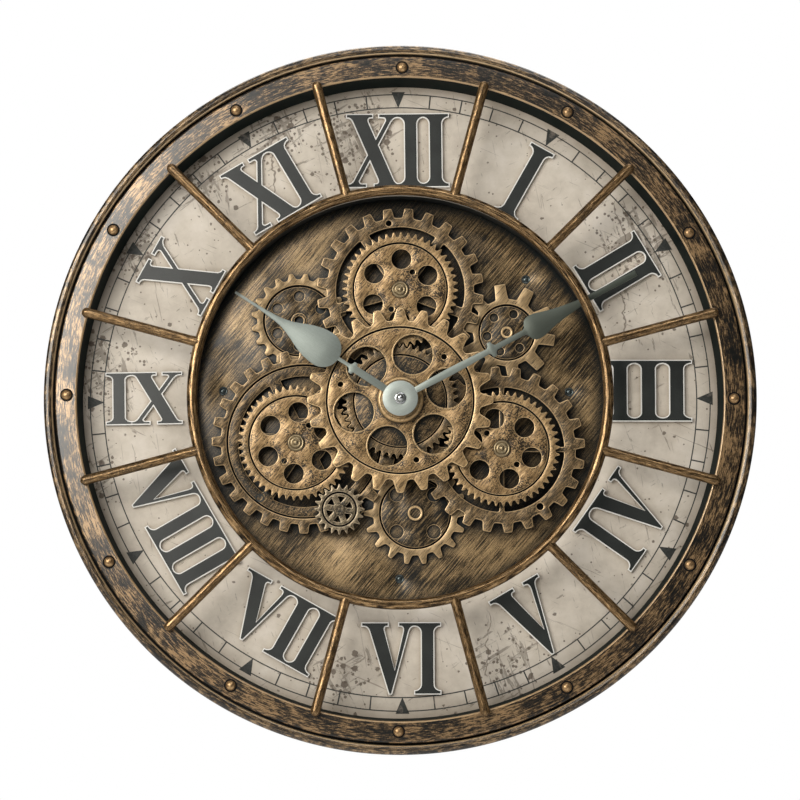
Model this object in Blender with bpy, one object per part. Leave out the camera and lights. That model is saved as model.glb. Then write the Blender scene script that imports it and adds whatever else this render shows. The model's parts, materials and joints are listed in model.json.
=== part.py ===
"""Wall-hung skeleton clock: spoked bronze frame, raised Roman dial and a moving gear train.

The clock hangs from a nail. The origin is the nail's point on the wall, at the top of the
hanger's slot. +X is to the right of the dial, +Z is up, and the clock faces -Y, so a depth
measured out from the wall is -Y. Angles on the dial run clockwise from twelve o'clock, which
is the positive turn about +Y. Lengths below are millimetres, and MM makes them metres.
"""

import math

import bmesh
import bpy
from mathutils import Vector
from mathutils.geometry import delaunay_2d_cdt

MM = 0.001
GAP = 0.3                       # clearance between touching pieces
HANG = 215.0                    # nail above the clock's axis

# Depths out from the wall.
FRAME_BACK = 1.0
BACK_RING = (7.0, 10.0)         # (back, front) of a flat piece
PLATE = (17.5, 20.0)
DIAL = (37.0, 40.0)
NUMERAL_THICKNESS = 3.0
LIP = 68.0
SPOKE_AXIS = 72.0
LOW_GEARS = (20.3, 24.5)
RING_GEARS = (24.8, 29.0)
FINE_GEARS = (32.0, 37.0)
COARSE_GEAR = (38.5, 43.5)
BOSS = (43.8, 51.0)
HOUR_HAND = (54.2, 55.4)
MINUTE_HAND = (57.0, 58.2)
DRIVES = (0.8, 17.2)            # movement and gear drive, behind the plate

# Radii about the clock's axis.
FRAME_RADIUS = 268.0            # at the bead round the front
BACK_RADIUS = 266.0             # at the wall
LIP_RADIUS = 243.0
WALL_FOOT_RADIUS = 240.4        # the sloping inner wall where it meets the dial
FRAME_WALL = 3.0
RIVET_CIRCLE = 250.7
RIVET_TURN = 0.3                # the rivets sit a little clockwise of the hours
RIVET_RADIUS = 4.1
RING_RADIUS = 156.2
RING_TUBE = 4.3
SPOKE_TUBE = 3.75
SPOKE_END = 246.0
DIAL_BORE = 157.0
PLATE_RADIUS = 156.7
HOURS = 12
RING_SEGMENTS = 60

# The gear train. The fine gears mesh; the coarse gear stands in front of them.
MODULE = 1.775
FINE_TEETH = 48
PINION_TEETH = 20
ADDENDUM = 1.45
DEDENDUM = 2.15
STACK_DISTANCE = MODULE * FINE_TEETH
STACK_ANGLES = {"upper": 0.0, "right": 115.2, "left": 248.1}
PINION_ANGLE = 146.95           # direction of the pinion from the left stack
ARBOR_RADIUS = 3.0
BUSHING_RADIUS = 5.0
SHOULDER_RADIUS = 8.0
HOUR_ANGLE = 303.0
MINUTE_ANGLE = 62.0

# Bronze, paint and plastics: base colour, metallic, roughness.
FINISHES = {
    "frame_bronze": ((0.105, 0.066, 0.036), 0.75, 0.42),
    "rod_bronze": ((0.33, 0.19, 0.085), 0.9, 0.34),
    "gear_bronze": ((0.40, 0.26, 0.12), 0.85, 0.45),
    "plate_bronze": ((0.20, 0.13, 0.065), 0.8, 0.5),
    "housing_black": ((0.02, 0.024, 0.022), 0.1, 0.6),
    "dial_print": ((0.56, 0.49, 0.41), 0.0, 0.6),
    "numeral_black": ((0.028, 0.034, 0.03), 0.1, 0.5),
    "hand_grey": ((0.33, 0.37, 0.37), 0.6, 0.45),
    "bright_steel": ((0.72, 0.73, 0.74), 1.0, 0.2),
    "black_plastic": ((0.03, 0.03, 0.032), 0.0, 0.5),
    "back_board": ((0.09, 0.075, 0.06), 0.0, 0.75),
    "zinc_steel": ((0.55, 0.54, 0.5), 0.95, 0.35),
    "rubber": ((0.03, 0.03, 0.03), 0.0, 0.85),
}


# ---------------------------------------------------------------- building blocks

def clear_scene():
    for item in list(bpy.data.objects):
        bpy.data.objects.remove(item, do_unlink=True)


def finish_material(name):
    """The named Principled finish, made once."""
    material = bpy.data.materials.get(name)
    if material:
        return material
    colour, metallic, roughness = FINISHES[name]
    material = bpy.data.materials.new(name)
    material.use_nodes = True
    shader = material.node_tree.nodes["Principled BSDF"]
    shader.inputs["Base Color"].default_value = (*colour, 1.0)
    shader.inputs["Metallic"].default_value = metallic
    shader.inputs["Roughness"].default_value = roughness
    return material


def polar(radius, degrees):
    """Point at a radius and a clockwise angle from the top."""
    angle = math.radians(degrees)
    return (radius * math.sin(angle), radius * math.cos(angle))


def circle(radius, centre=(0.0, 0.0), segments=24, start=0.0):
    step = 360.0 / segments
    points = [polar(radius, start + step * i) for i in range(segments)]
    return [(centre[0] + x, centre[1] + z) for x, z in points]


def rectangle(left, bottom, right, top):
    return [(left, bottom), (right, bottom), (right, top), (left, top)]


def rounded_rectangle(left, bottom, right, top, radius, steps=3):
    corners = ((right - radius, top - radius, 0), (right - radius, bottom + radius, 90),
               (left + radius, bottom + radius, 180), (left + radius, top - radius, 270))
    points = []
    for x, z, start in corners:
        for i in range(steps + 1):
            dx, dz = polar(radius, start + 90.0 * i / steps)
            points.append((x + dx, z + dz))
    return points


def place(item, centre, turn, parent, finish):
    """Put an object at (x, z) of the clock's face, turned clockwise by degrees."""
    item.parent = parent
    item.location = (centre[0] * MM, 0.0, centre[1] * MM)
    item.rotation_euler = (0.0, math.radians(turn), 0.0)
    item.data.materials.append(finish_material(finish))
    return item


def new_object(name, mesh):
    item = bpy.data.objects.new(name, mesh)
    bpy.context.scene.collection.objects.link(item)
    return item


def counter_clockwise(points):
    area = sum(a[0] * b[1] - b[0] * a[1] for a, b in zip(points, points[1:] + points[:1]))
    return points if area > 0 else points[::-1]


def painted_levels(layers):
    """Triangulate overlapping outlines: vertices, triangles and each one's (back, front)."""
    points, loops = [], []
    for outline, _ in layers:
        loops.append(list(range(len(points), len(points) + len(outline))))
        points += [Vector(p) for p in counter_clockwise(outline)]
    verts, _, faces, _, _, owners = delaunay_2d_cdt(points, [], loops, 1, 1e-5)
    kept = [(face, layers[max(own)][1]) for face, own in zip(faces, owners) if own]
    return verts, [(face, span) for face, span in kept if span is not None]


def wall_spans(mine, other):
    """Heights of the wall that a face spanning mine shows beside a face spanning other."""
    if other is None:
        return [mine]
    spans = []
    if mine[1] > other[1]:
        spans.append((other[1], mine[1]))
    if mine[0] < other[0]:
        spans.append((mine[0], other[0]))
    return spans


def stepped_mesh(name, layers):
    """Closed flat solid whose front and back step from layer to layer.

    Each layer is (outline, (back, front)); later layers paint over earlier ones, and a span
    of None cuts a hole through.
    """
    verts, faces = painted_levels(layers)
    span_of_edge, levels = {}, {}
    for face, span in faces:
        for a, b in zip(face, face[1:] + face[:1]):
            span_of_edge[a, b] = span
            levels.setdefault(a, set()).update(span)
    bm = bmesh.new()
    made = {}

    def vertex(index, level):
        key = (index, level)
        if key not in made:
            x, z = verts[index]
            made[key] = bm.verts.new((x * MM, -level * MM, z * MM))
        return made[key]

    for face, (back, front) in faces:
        bm.faces.new([vertex(i, front) for i in face])
        bm.faces.new([vertex(i, back) for i in reversed(face)])
    for (a, b), span in span_of_edge.items():
        for low, high in wall_spans(span, span_of_edge.get((b, a))):
            rise_a = sorted(h for h in levels[a] if low <= h <= high)
            rise_b = sorted(h for h in levels[b] if low <= h <= high)
            corners = [vertex(a, rise_a[0])] + [vertex(b, h) for h in rise_b]
            corners += [vertex(a, h) for h in reversed(rise_a[1:])]
            bm.faces.new(corners)
    mesh = bpy.data.meshes.new(name)
    bm.to_mesh(mesh)
    bm.free()
    return mesh


def turned_mesh(name, profile, segments, closed=False):
    """Solid of revolution about the axis towards the dial's viewer.

    The profile is (radius, depth) points. An open profile starts and ends on the axis; a
    closed one makes a ring.
    """
    bm = bmesh.new()
    rings = []
    for radius, depth in profile:
        if radius == 0:
            rings.append([bm.verts.new((0.0, -depth * MM, 0.0))] * segments)
            continue
        ring = circle(radius, segments=segments)
        rings.append([bm.verts.new((x * MM, -depth * MM, z * MM)) for x, z in ring])
    pairs = list(zip(rings, rings[1:] + rings[:1]))
    for inner, outer in pairs if closed else pairs[:-1]:
        for i in range(segments):
            j = (i + 1) % segments
            corners = [inner[i], inner[j], outer[j], outer[i]]
            bm.faces.new(list(dict.fromkeys(corners)))
    bmesh.ops.recalc_face_normals(bm, faces=bm.faces)
    mesh = bpy.data.meshes.new(name)
    bm.to_mesh(mesh)
    bm.free()
    smooth(mesh)
    return mesh


def smooth(mesh, degrees=35.0):
    mesh.shade_smooth()
    mesh.set_sharp_from_angle(angle=math.radians(degrees))


def stepped_part(name, layers, finish, parent, centre=(0.0, 0.0), turn=0.0):
    return place(new_object(name, stepped_mesh(name, layers)), centre, turn, parent, finish)


def turned_part(name, profile, segments, finish, parent, centre=(0.0, 0.0), closed=False):
    mesh = turned_mesh(name, profile, segments, closed)
    return place(new_object(name, mesh), centre, 0.0, parent, finish)


def joint_empty(name, centre, parent):
    """Empty on a turning axis; the pieces that turn together hang from it."""
    empty = bpy.data.objects.new(name, None)
    bpy.context.scene.collection.objects.link(empty)
    empty.parent = parent
    empty.location = (centre[0] * MM, 0.0, centre[1] * MM)
    return empty


# ---------------------------------------------------------------- frame and spokes

def rivet_cutter(parent):
    """Twelve domes in one mesh, added to the frame by its Boolean."""
    segments, sink = 8, 1.5
    dome = [(0.0, LIP - sink), (RIVET_RADIUS, LIP - sink), (RIVET_RADIUS, LIP + 1.0),
            (RIVET_RADIUS * 0.6, LIP + 2.7), (0.0, LIP + 3.2)]
    bm = bmesh.new()
    for hour in range(HOURS):
        mesh = turned_mesh("rivet", dome, segments)
        x, z = polar(RIVET_CIRCLE, 30.0 * hour + RIVET_TURN)
        for vertex in mesh.vertices:
            vertex.co += Vector((x * MM, 0.0, z * MM))
        bm.from_mesh(mesh)
        bpy.data.meshes.remove(mesh)
    mesh = bpy.data.meshes.new("rivet_domes")
    bm.to_mesh(mesh)
    bm.free()
    item = new_object("rivet_domes", mesh)
    item.parent = parent
    item.hide_render = True
    item.display_type = "WIRE"
    return item


def outer_frame(parent):
    """Channel-section rim: beaded edge, groove, flat riveted band and deep inner wall."""
    inner, outer = LIP_RADIUS, FRAME_RADIUS
    foot = DIAL[1] + GAP
    profile = [
        (BACK_RADIUS, FRAME_BACK), (outer, 62.0), (outer - 1.4, 66.4), (outer - 4.2, 68.0),
        (outer - 7.8, 64.4), (outer - 9.0, 66.8), (inner + 3.5, LIP), (inner, LIP - 0.6),
        (WALL_FOOT_RADIUS, foot), (WALL_FOOT_RADIUS + FRAME_WALL, foot),
        (inner + FRAME_WALL, 64.0), (outer - 9.0, 61.4), (outer - FRAME_WALL - 1.0, 59.0),
        (BACK_RADIUS - FRAME_WALL, FRAME_BACK),
    ]
    frame = turned_part("outer_frame", profile, RING_SEGMENTS, "frame_bronze", parent,
                        closed=True)
    union = frame.modifiers.new("rivets", "BOOLEAN")
    union.operation = "UNION"
    union.solver = "EXACT"
    union.object = rivet_cutter(parent)
    return frame


def tube_ring(parent):
    """Round-bar ring that the spokes are welded to."""
    sides = 8
    profile = []
    for i in range(sides):
        across, up = polar(RING_TUBE, 360.0 * (i + 0.5) / sides)
        profile.append((RING_RADIUS + across, SPOKE_AXIS + up))
    return turned_part("spoke_ring", profile, RING_SEGMENTS, "rod_bronze", parent, closed=True)


def spoke_mesh():
    """Straight bar along +Z from a saddle on the ring to a rounded outer end."""
    sides = 10
    saddle = RING_TUBE + GAP
    bm = bmesh.new()
    ring_angles = [360.0 * i / sides for i in range(sides)]

    def ring(radius, height):
        made = []
        for degrees in ring_angles:
            depth, across = polar(radius, degrees + 90.0)
            z = height
            if height is None:
                z = RING_RADIUS + math.sqrt(saddle ** 2 - depth ** 2)
            made.append(bm.verts.new((across * MM, -(SPOKE_AXIS + depth) * MM, z * MM)))
        return made

    body = SPOKE_END - SPOKE_TUBE
    rings = [ring(SPOKE_TUBE, None), ring(SPOKE_TUBE, body),
             ring(SPOKE_TUBE * 0.78, body + SPOKE_TUBE * 0.7),
             ring(SPOKE_TUBE * 0.35, SPOKE_END)]
    for low, high in zip(rings, rings[1:]):
        for i in range(sides):
            j = (i + 1) % sides
            bm.faces.new([low[i], low[j], high[j], high[i]])
    bm.faces.new(rings[-1])
    rows = {}
    for vertex in rings[0]:
        rows.setdefault(round(vertex.co.y, 6), []).append(vertex)
    strips = [sorted(rows[y], key=lambda v: v.co.x) for y in sorted(rows)]
    for low, high in zip(strips, strips[1:]):
        corners = [low[0], low[-1], high[-1], high[0]]
        bm.faces.new(list(dict.fromkeys(corners)))
    bmesh.ops.recalc_face_normals(bm, faces=bm.faces)
    mesh = bpy.data.meshes.new("spoke")
    bm.to_mesh(mesh)
    bm.free()
    smooth(mesh)
    return mesh


def spokes(parent):
    mesh = spoke_mesh()
    mesh.materials.append(finish_material("rod_bronze"))
    for i in range(HOURS):
        item = new_object(f"spoke_{i + 1:02d}", mesh)
        item.parent = parent
        item.rotation_euler = (0.0, math.radians(15.0 + 30.0 * i), 0.0)


# ---------------------------------------------------------------- dial and numerals

NUMERAL_HEIGHT = 53.0
STEM = 8.8                      # thick stroke
HAIRLINE = 2.0                  # serif thickness
OVERHANG = 5.2                  # serif beyond its stem
ADVANCE = {"I": STEM + 2 * OVERHANG - 0.4, "V": 39.8, "X": 38.6}

# Numeral, clockwise angle, radius of its middle, turn of its top, width and height scales.
NUMERALS = (
    ("I", 29.4, 191.6, 29.4, 1.0, 1.11), ("II", 59.1, 192.0, 59.1, 1.03, 1.01),
    ("III", 87.8, 188.1, 0.0, 1.14, 0.86), ("IV", 118.0, 191.7, 305.2, 1.0, 1.0),
    ("V", 149.3, 194.6, 329.8, 1.04, 1.08), ("VI", 179.8, 195.3, 359.8, 1.0, 1.0),
    ("VII", 208.7, 191.5, 29.4, 1.01, 0.93), ("VIII", 241.1, 190.5, 59.9, 1.02, 0.92),
    ("IX", 270.4, 194.1, 359.0, 0.98, 0.73), ("X", 299.5, 191.7, 298.7, 1.0, 1.04),
    ("XI", 328.9, 191.2, 329.3, 1.01, 0.99), ("XII", 359.4, 191.2, 359.4, 1.01, 1.05),
)


def bar(left, right, edge, inward):
    """Serif along an edge of the letter, growing inward by the hairline."""
    low, high = sorted((edge, edge + inward * HAIRLINE))
    return rectangle(left, low, right, high)


def letter_i():
    """One stem with a serif at each end, its corners bracketed by chamfers."""
    half, bracket = STEM / 2, 3.0
    middle = ADVANCE["I"] / 2
    height = NUMERAL_HEIGHT
    right = [(half + OVERHANG, 0.0), (half + OVERHANG, HAIRLINE), (half + bracket, HAIRLINE),
             (half, HAIRLINE + bracket)]
    right += [(x, height - y) for x, y in reversed(right)]
    left = [(-x, y) for x, y in reversed(right)]
    return [[(middle + x, y) for x, y in right + left]]


def letter_v():
    height = NUMERAL_HEIGHT
    body = [(4.2, height), (14.9, height), (24.4, 17.0), (32.9, height), (36.3, height),
            (21.7, 0.0), (20.3, 0.0)]
    return [body, bar(0.0, 19.4, height, -1), bar(27.8, 40.2, height, -1)]


def letter_x():
    height = NUMERAL_HEIGHT
    thick = [(2.5, height), (13.4, height), (36.8, 0.0), (26.0, 0.0)]
    thin = [(32.2, height), (35.6, height), (6.1, 0.0), (2.6, 0.0)]
    return [thick, thin, bar(0.0, 19.2, height, -1), bar(24.4, 38.9, height, -1),
            bar(0.6, 14.1, 0.0, 1), bar(20.4, 38.9, 0.0, 1)]


LETTERS = {"I": letter_i, "V": letter_v, "X": letter_x}


def numeral_outlines(text, wide, tall):
    """Outlines of a numeral about its own middle; neighbouring serifs run together."""
    width = sum(ADVANCE[letter] for letter in text)
    outlines, start = [], -width / 2
    for letter in text:
        for outline in LETTERS[letter]():
            points = [(start + x, y - NUMERAL_HEIGHT / 2) for x, y in outline]
            outlines.append([(x * wide, y * tall) for x, y in points])
        start += ADVANCE[letter]
    return outlines


def dial(parent):
    outline = circle(WALL_FOOT_RADIUS + FRAME_WALL - GAP, segments=RING_SEGMENTS)
    bore = circle(DIAL_BORE, segments=RING_SEGMENTS)
    stepped_part("dial", [(outline, DIAL), (bore, None)], "dial_print", parent)


def numerals(parent):
    span = (DIAL[1] + GAP, DIAL[1] + GAP + NUMERAL_THICKNESS)
    for i, (text, angle, radius, turn, wide, tall) in enumerate(NUMERALS):
        layers = [(outline, span) for outline in numeral_outlines(text, wide, tall)]
        stepped_part(f"numeral_{i + 1:02d}", layers, "numeral_black", parent,
                     centre=polar(radius, angle), turn=turn)


# ---------------------------------------------------------------- gears

def toothed(teeth, root, tip, root_share, tip_share):
    """Gear outline; the shares are a tooth's width at root and tip, over its pitch.

    A tip share of 0 makes pointed teeth.
    """
    pitch = 360.0 / teeth
    corners = [(root, -root_share), (tip, -tip_share), (tip, tip_share), (root, root_share)]
    if tip_share == 0:
        corners.pop(1)
    return [polar(radius, pitch * (i + share / 2)) for i in range(teeth)
            for radius, share in corners]


def fine_outline(teeth):
    pitch_radius = MODULE * teeth / 2
    return toothed(teeth, pitch_radius - DEDENDUM, pitch_radius + ADDENDUM, 0.66, 0)


def hole_ring(count, ring_radius, radius, start, segments=10):
    """Through holes evenly round a circle."""
    step = 360.0 / count
    return [(circle(radius, polar(ring_radius, start + step * i), segments), None)
            for i in range(count)]


def arm_windows(count, inner, outer, arm_width, start):
    """Windows between straight arms, from an inner to an outer radius."""
    windows = []
    step = 360.0 / count
    for i in range(count):
        points = []
        for radius, steps in ((outer, 4), (inner, 1)):
            margin = math.degrees(math.asin(arm_width / 2 / radius))
            low, high = start + step * i + margin, start + step * (i + 1) - margin
            arc = [polar(radius, low + (high - low) * k / steps) for k in range(steps + 1)]
            points += arc if radius == outer else arc[::-1]
        windows.append((points, None))
    return windows


def stack_centre(name):
    return polar(STACK_DISTANCE, STACK_ANGLES[name])


def pinion_centre():
    x, z = stack_centre("left")
    dx, dz = polar(MODULE * (FINE_TEETH + PINION_TEETH) / 2, PINION_ANGLE)
    return (x + dx, z + dz)


def meshed_phase(teeth_a, phase_a, direction, teeth_b):
    """Phase of gear b that puts its tooth gap on gear a's tooth in that direction."""
    share_a = (direction - phase_a) * teeth_a / 360.0
    return direction + 180.0 - (0.5 - share_a) * 360.0 / teeth_b


def dished(outline, span, dish_radius, depth, segments=24):
    """A gear blank with its web sunk below the toothed rim."""
    back, front = span
    return [(outline, span), (circle(dish_radius, segments=segments), (back, front - depth))]


CENTRE_PHASE = 3.0              # a tooth of the centre fine gear, clockwise from the top


def centre_gears(parent):
    """The coarse show gear and the fine gear behind it, turning together."""
    bore = (circle(BUSHING_RADIUS + GAP, segments=12), None)
    coarse = dished(toothed(24, 60.9, 70.6, 0.7, 0.26), COARSE_GEAR, 56.3, 1.2)
    coarse += hole_ring(6, 36.1, 15.1, 15.5, 16) + hole_ring(3, 46.9, 2.2, 45.0, 6) + [bore]
    stepped_part("centre_coarse_gear", coarse, "gear_bronze", parent)
    hub = (circle(12.0, segments=12), (FINE_GEARS[0], COARSE_GEAR[0] - GAP))
    fine = dished(fine_outline(FINE_TEETH), FINE_GEARS, 36.0, 1.2) + [hub, bore]
    stepped_part("centre_fine_gear", fine, "gear_bronze", parent, turn=CENTRE_PHASE)


STACK_HOLES = {"upper": (2.0, (34.0, 205.0)), "left": (4.0, (36.0, 213.0)),
               "right": (46.5, (137.0, 316.0))}


def stack_gear(name, phase, parent):
    """Fine gear of one stack, drilled with six large and two small holes."""
    first, small = STACK_HOLES[name]
    layers = dished(fine_outline(FINE_TEETH), FINE_GEARS, 36.4, 1.2)
    layers += hole_ring(6, 23.5, 7.6, first - phase)
    layers += [(circle(2.2, polar(16.4, angle - phase), 6), None) for angle in small]
    layers.append((circle(ARBOR_RADIUS + GAP, segments=12), None))
    stepped_part(f"{name}_gear", layers, "gear_bronze", parent, turn=phase)


def pinion(phase, parent):
    """Drive pinion with six windows, on the geared motor's output shaft."""
    back, front = FINE_GEARS
    layers = dished(fine_outline(PINION_TEETH), FINE_GEARS, 13.4, 0.8, 18)
    layers += arm_windows(6, 5.0, 9.8, 4.6, -20.0 - phase)
    layers.append((circle(4.2, segments=12), (back - 4.0, front)))
    layers.append((circle(2.0, segments=12), (MOTOR[1] + GAP, front)))
    stepped_part("drive_pinion", layers, "gear_bronze", parent, turn=phase)


def upper_ring_gear(parent):
    layers = [(toothed(24, 56.4, 63.8, 0.6, 0.38), RING_GEARS)]
    layers += arm_windows(5, 12.0, 49.0, 8.0, 32.0)
    layers.append((circle(ARBOR_RADIUS + GAP, segments=12), None))
    layers.append((circle(2.6, polar(52.3, 344.4), 8), None))
    stepped_part("upper_ring_gear", layers, "gear_bronze", parent, stack_centre("upper"), 6.0)


def right_ring_gear(parent):
    layers = [(toothed(24, 56.4, 63.6, 0.6, 0.36), RING_GEARS)]
    layers += arm_windows(4, 12.0, 47.5, 4.0, -10.6)
    layers.append((circle(ARBOR_RADIUS + GAP, segments=12), None))
    layers.append((circle(2.6, polar(52.2, 135.7), 8), None))
    stepped_part("right_ring_gear", layers, "gear_bronze", parent, stack_centre("right"), 10.6)


LEFT_WHEEL_SHIFT = (5.9, 1.7)   # the left wheel stands off its stack's centre


def left_wheel(parent):
    """Large six-armed wheel; the pinion's shaft passes through its rim."""
    back, front = RING_GEARS
    stack = stack_centre("left")
    centre = (stack[0] + LEFT_WHEEL_SHIFT[0], stack[1] + LEFT_WHEEL_SHIFT[1])
    pin = pinion_centre()
    layers = [(toothed(28, 63.3, 70.3, 0.6, 0.4), RING_GEARS),
              (circle(58.9, segments=30), (back, front - 1.8))]
    layers += arm_windows(6, 18.0, 50.0, 9.0, 33.5)
    arbor = circle(ARBOR_RADIUS + GAP, (-LEFT_WHEEL_SHIFT[0], -LEFT_WHEEL_SHIFT[1]), 12)
    shaft = circle(5.0, (pin[0] - centre[0], pin[1] - centre[1]), 12)
    layers += [(arbor, None), (shaft, None)]
    stepped_part("left_wheel", layers, "gear_bronze", parent, centre)


# Name, centre, teeth, root and tip radii, tooth shares, dish, holes, boss, phase.
LOW_GEAR_TABLE = (
    ("upper_left_gear", (-77.3, 62.9), 20, 32.0, 36.6, (0.66, 0.24), 27.4,
     (6, 19.0, 4.1, 0.0), 6.1, 8.0),
    ("upper_right_gear", (81.3, 53.8), 10, 26.0, 37.4, (0.6, 0.34), 21.7,
     (6, 15.2, 3.3, 20.0), 4.9, 28.0),
    ("bottom_gear", (11.4, -84.4), 18, 32.3, 39.2, (0.6, 0.22), 27.4,
     (4, 20.2, 5.3, 45.0), 6.1, 10.0),
)


def low_gears(parent):
    """The three fixed gears that stand straight on the plate."""
    back, front = LOW_GEARS
    for name, centre, teeth, root, tip, shares, dish, holes, boss, phase in LOW_GEAR_TABLE:
        layers = dished(toothed(teeth, root, tip, *shares), LOW_GEARS, dish, 1.8)
        count, ring_radius, radius, start = holes
        layers += hole_ring(count, ring_radius, radius, start - phase)
        layers.append((circle(boss, segments=12), (back, front - 0.2)))
        stepped_part(name, layers, "gear_bronze", parent, centre, phase)


def arbors(parent):
    """Shouldered pivot with a rosette screw head for each gear stack."""
    head = FINE_GEARS[1] - 1.2 + GAP
    profile = [(0.0, LOW_GEARS[0]), (8.0, LOW_GEARS[0]), (8.0, LOW_GEARS[1]),
               (ARBOR_RADIUS, LOW_GEARS[1]), (ARBOR_RADIUS, RING_GEARS[1] + GAP),
               (5.0, RING_GEARS[1] + GAP), (5.0, FINE_GEARS[0] - GAP),
               (ARBOR_RADIUS, FINE_GEARS[0] - GAP), (ARBOR_RADIUS, head), (6.6, head),
               (6.0, head + 2.6), (0.0, head + 4.2)]
    for name in STACK_ANGLES:
        turned_part(f"arbor_{name}", profile, 12, "zinc_steel", parent, stack_centre(name))


# ---------------------------------------------------------------- plate, housing and back

MOTOR = (4.3, 14.0)
MOTOR_RADIUS = 15.0
EYELETS = ((134.2, 180.2), (135.4, 273.9), (135.2, 45.3), (129.2, 86.2))
EYELET_FLOOR = 1.0              # sheet left behind each blind eyelet


def gear_plate(parent):
    layers = [(circle(PLATE_RADIUS, segments=RING_SEGMENTS), PLATE)]
    layers.append((circle(SHOULDER_RADIUS + GAP, segments=16), None))
    layers.append((circle(3.0, pinion_centre(), 12), None))
    blind = (PLATE[0], PLATE[0] + EYELET_FLOOR)
    layers += [(circle(2.6, polar(radius, angle), 8), blind) for radius, angle in EYELETS]
    stepped_part("gear_plate", layers, "plate_bronze", parent)


def gear_housing(parent):
    """Deep ring behind the dial's bore, with a ledge for the plate and a dial flange."""
    top = DIAL[0] - GAP
    ledge = PLATE[0] - GAP
    profile = [(DIAL_BORE + 2.5, 3.0), (DIAL_BORE + 2.5, top - 2.7), (175.0, top - 2.7),
               (175.0, top), (DIAL_BORE, top), (DIAL_BORE, ledge), (150.0, ledge),
               (150.0, ledge - 2.7), (DIAL_BORE, ledge - 2.7), (DIAL_BORE, 3.0)]
    turned_part("gear_housing", profile, RING_SEGMENTS, "housing_black", parent, closed=True)


def back_ring(parent):
    """Board that closes the frame's channel behind the dial."""
    outline = circle(BACK_RADIUS - FRAME_WALL - 2 * GAP, segments=RING_SEGMENTS)
    bore = circle(DIAL_BORE + 2.5 + 2 * GAP, segments=RING_SEGMENTS)
    stepped_part("back_ring", [(outline, BACK_RING), (bore, None)], "back_board", parent)


SLOT_RADIUS = 2.5
KEYHOLE_DROP = 12.0
KEYHOLE_RADIUS = 5.2


def keyhole():
    """Entry hole with a slot rising to the nail's seat, which is at (0, 0)."""
    slot = [polar(SLOT_RADIUS, angle) for angle in range(-90, 91, 30)]
    join = math.degrees(math.asin(SLOT_RADIUS / KEYHOLE_RADIUS))
    entry = [polar(KEYHOLE_RADIUS, join + (360.0 - 2 * join) * i / 14) for i in range(15)]
    return slot + [(x, z - KEYHOLE_DROP) for x, z in entry]


def hanger_plate(parent):
    """Bridge-shaped steel keyhole plate on the back board."""
    foot = BACK_RING[0] - GAP
    span = (1.0, 2.4)
    layers = [(rounded_rectangle(-32.0, -21.0, 32.0, 8.0, 3.0), (span[0], foot)),
              (rectangle(-20.0, -21.0, 20.0, 8.0), span), (keyhole(), None)]
    stepped_part("hanger_plate", layers, "zinc_steel", parent, (0.0, HANG))


def wall_bumper(parent):
    """Soft pad at the bottom that keeps the clock plumb on the wall."""
    profile = [(0.0, 0.0), (9.0, 0.0), (10.5, 1.2), (10.5, BACK_RING[0] - GAP),
               (0.0, BACK_RING[0] - GAP)]
    turned_part("wall_bumper", profile, 20, "rubber", parent, (0.0, -HANG))


# ---------------------------------------------------------------- movement and gear drive

MOVEMENT_HALF = 28.0
BATTERY_BAY = (-26.0, -26.0, 26.0, -10.8)
KNOB_CENTRE = (13.0, 13.0)
KNOB_RADIUS = 8.0
SHAFT_FLOOR = 8.0               # depth where the hands' shafts start inside the movement
HOUR_TUBE = 3.0
MINUTE_SHAFT = 1.7


def quartz_movement(parent):
    """Quartz movement with its battery bay, knob recess and threaded bushing."""
    back, front = DRIVES
    half = MOVEMENT_HALF
    layers = [
        (rounded_rectangle(-half, -half, half, half, 4.0), DRIVES),
        (rectangle(*BATTERY_BAY), (front - 1.4, front)),
        (circle(KNOB_RADIUS + 1.0, KNOB_CENTRE, 20), (5.2, front)),
        (circle(SHOULDER_RADIUS, segments=16), (back, FINE_GEARS[0] - GAP)),
        (circle(BUSHING_RADIUS, segments=16), (back, BOSS[1] + 0.6)),
        (circle(HOUR_TUBE + GAP, segments=12), (back, SHAFT_FLOOR - GAP)),
    ]
    stepped_part("quartz_movement", layers, "black_plastic", parent)


def set_knob(parent):
    """Ribbed time-setting wheel on the movement's back."""
    ribs = 16
    outline = []
    for i in range(ribs):
        outline.append(polar(KNOB_RADIUS, 360.0 * (i + 0.2) / ribs))
        outline.append(polar(KNOB_RADIUS - 0.7, 360.0 * (i + 0.7) / ribs))
    stepped_part("set_knob", [(outline, (1.2, 4.8))], "black_plastic", parent)


CASE = (-70.0, -104.0, 52.0, -62.0)
DOOR_RECESS = (-17.0, -101.0, 52.0, -65.0)
GEAR_BATTERY_BAY = (-10.0, -94.5, 36.0, -71.5)
SWITCH_SLOT = (-29.0, -86.0, -19.0, -80.0)
SWITCH_LENGTH = 5.0


def gear_drive_case(parent):
    """Case of the gear drive: motor pocket in front, battery bay and switch behind."""
    back, front = DRIVES
    layers = [
        (rectangle(*CASE), DRIVES),
        (rectangle(*DOOR_RECESS), (3.1, front)),
        (rectangle(*GEAR_BATTERY_BAY), (front - 1.4, front)),
        (rectangle(*SWITCH_SLOT), (6.2, front)),
        (circle(MOTOR_RADIUS + GAP, pinion_centre(), 24), (back, MOTOR[0] - GAP)),
    ]
    stepped_part("gear_drive_case", layers, "black_plastic", parent)


def gear_motor(parent):
    """Flat geared motor; its front boss carries the output shaft's bearing."""
    profile = [(0.0, MOTOR[0]), (MOTOR_RADIUS, MOTOR[0]), (MOTOR_RADIUS, 12.4), (5.0, 12.4),
               (5.0, MOTOR[1]), (0.0, MOTOR[1])]
    turned_part("gear_motor", profile, 24, "zinc_steel", parent, pinion_centre())


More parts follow.
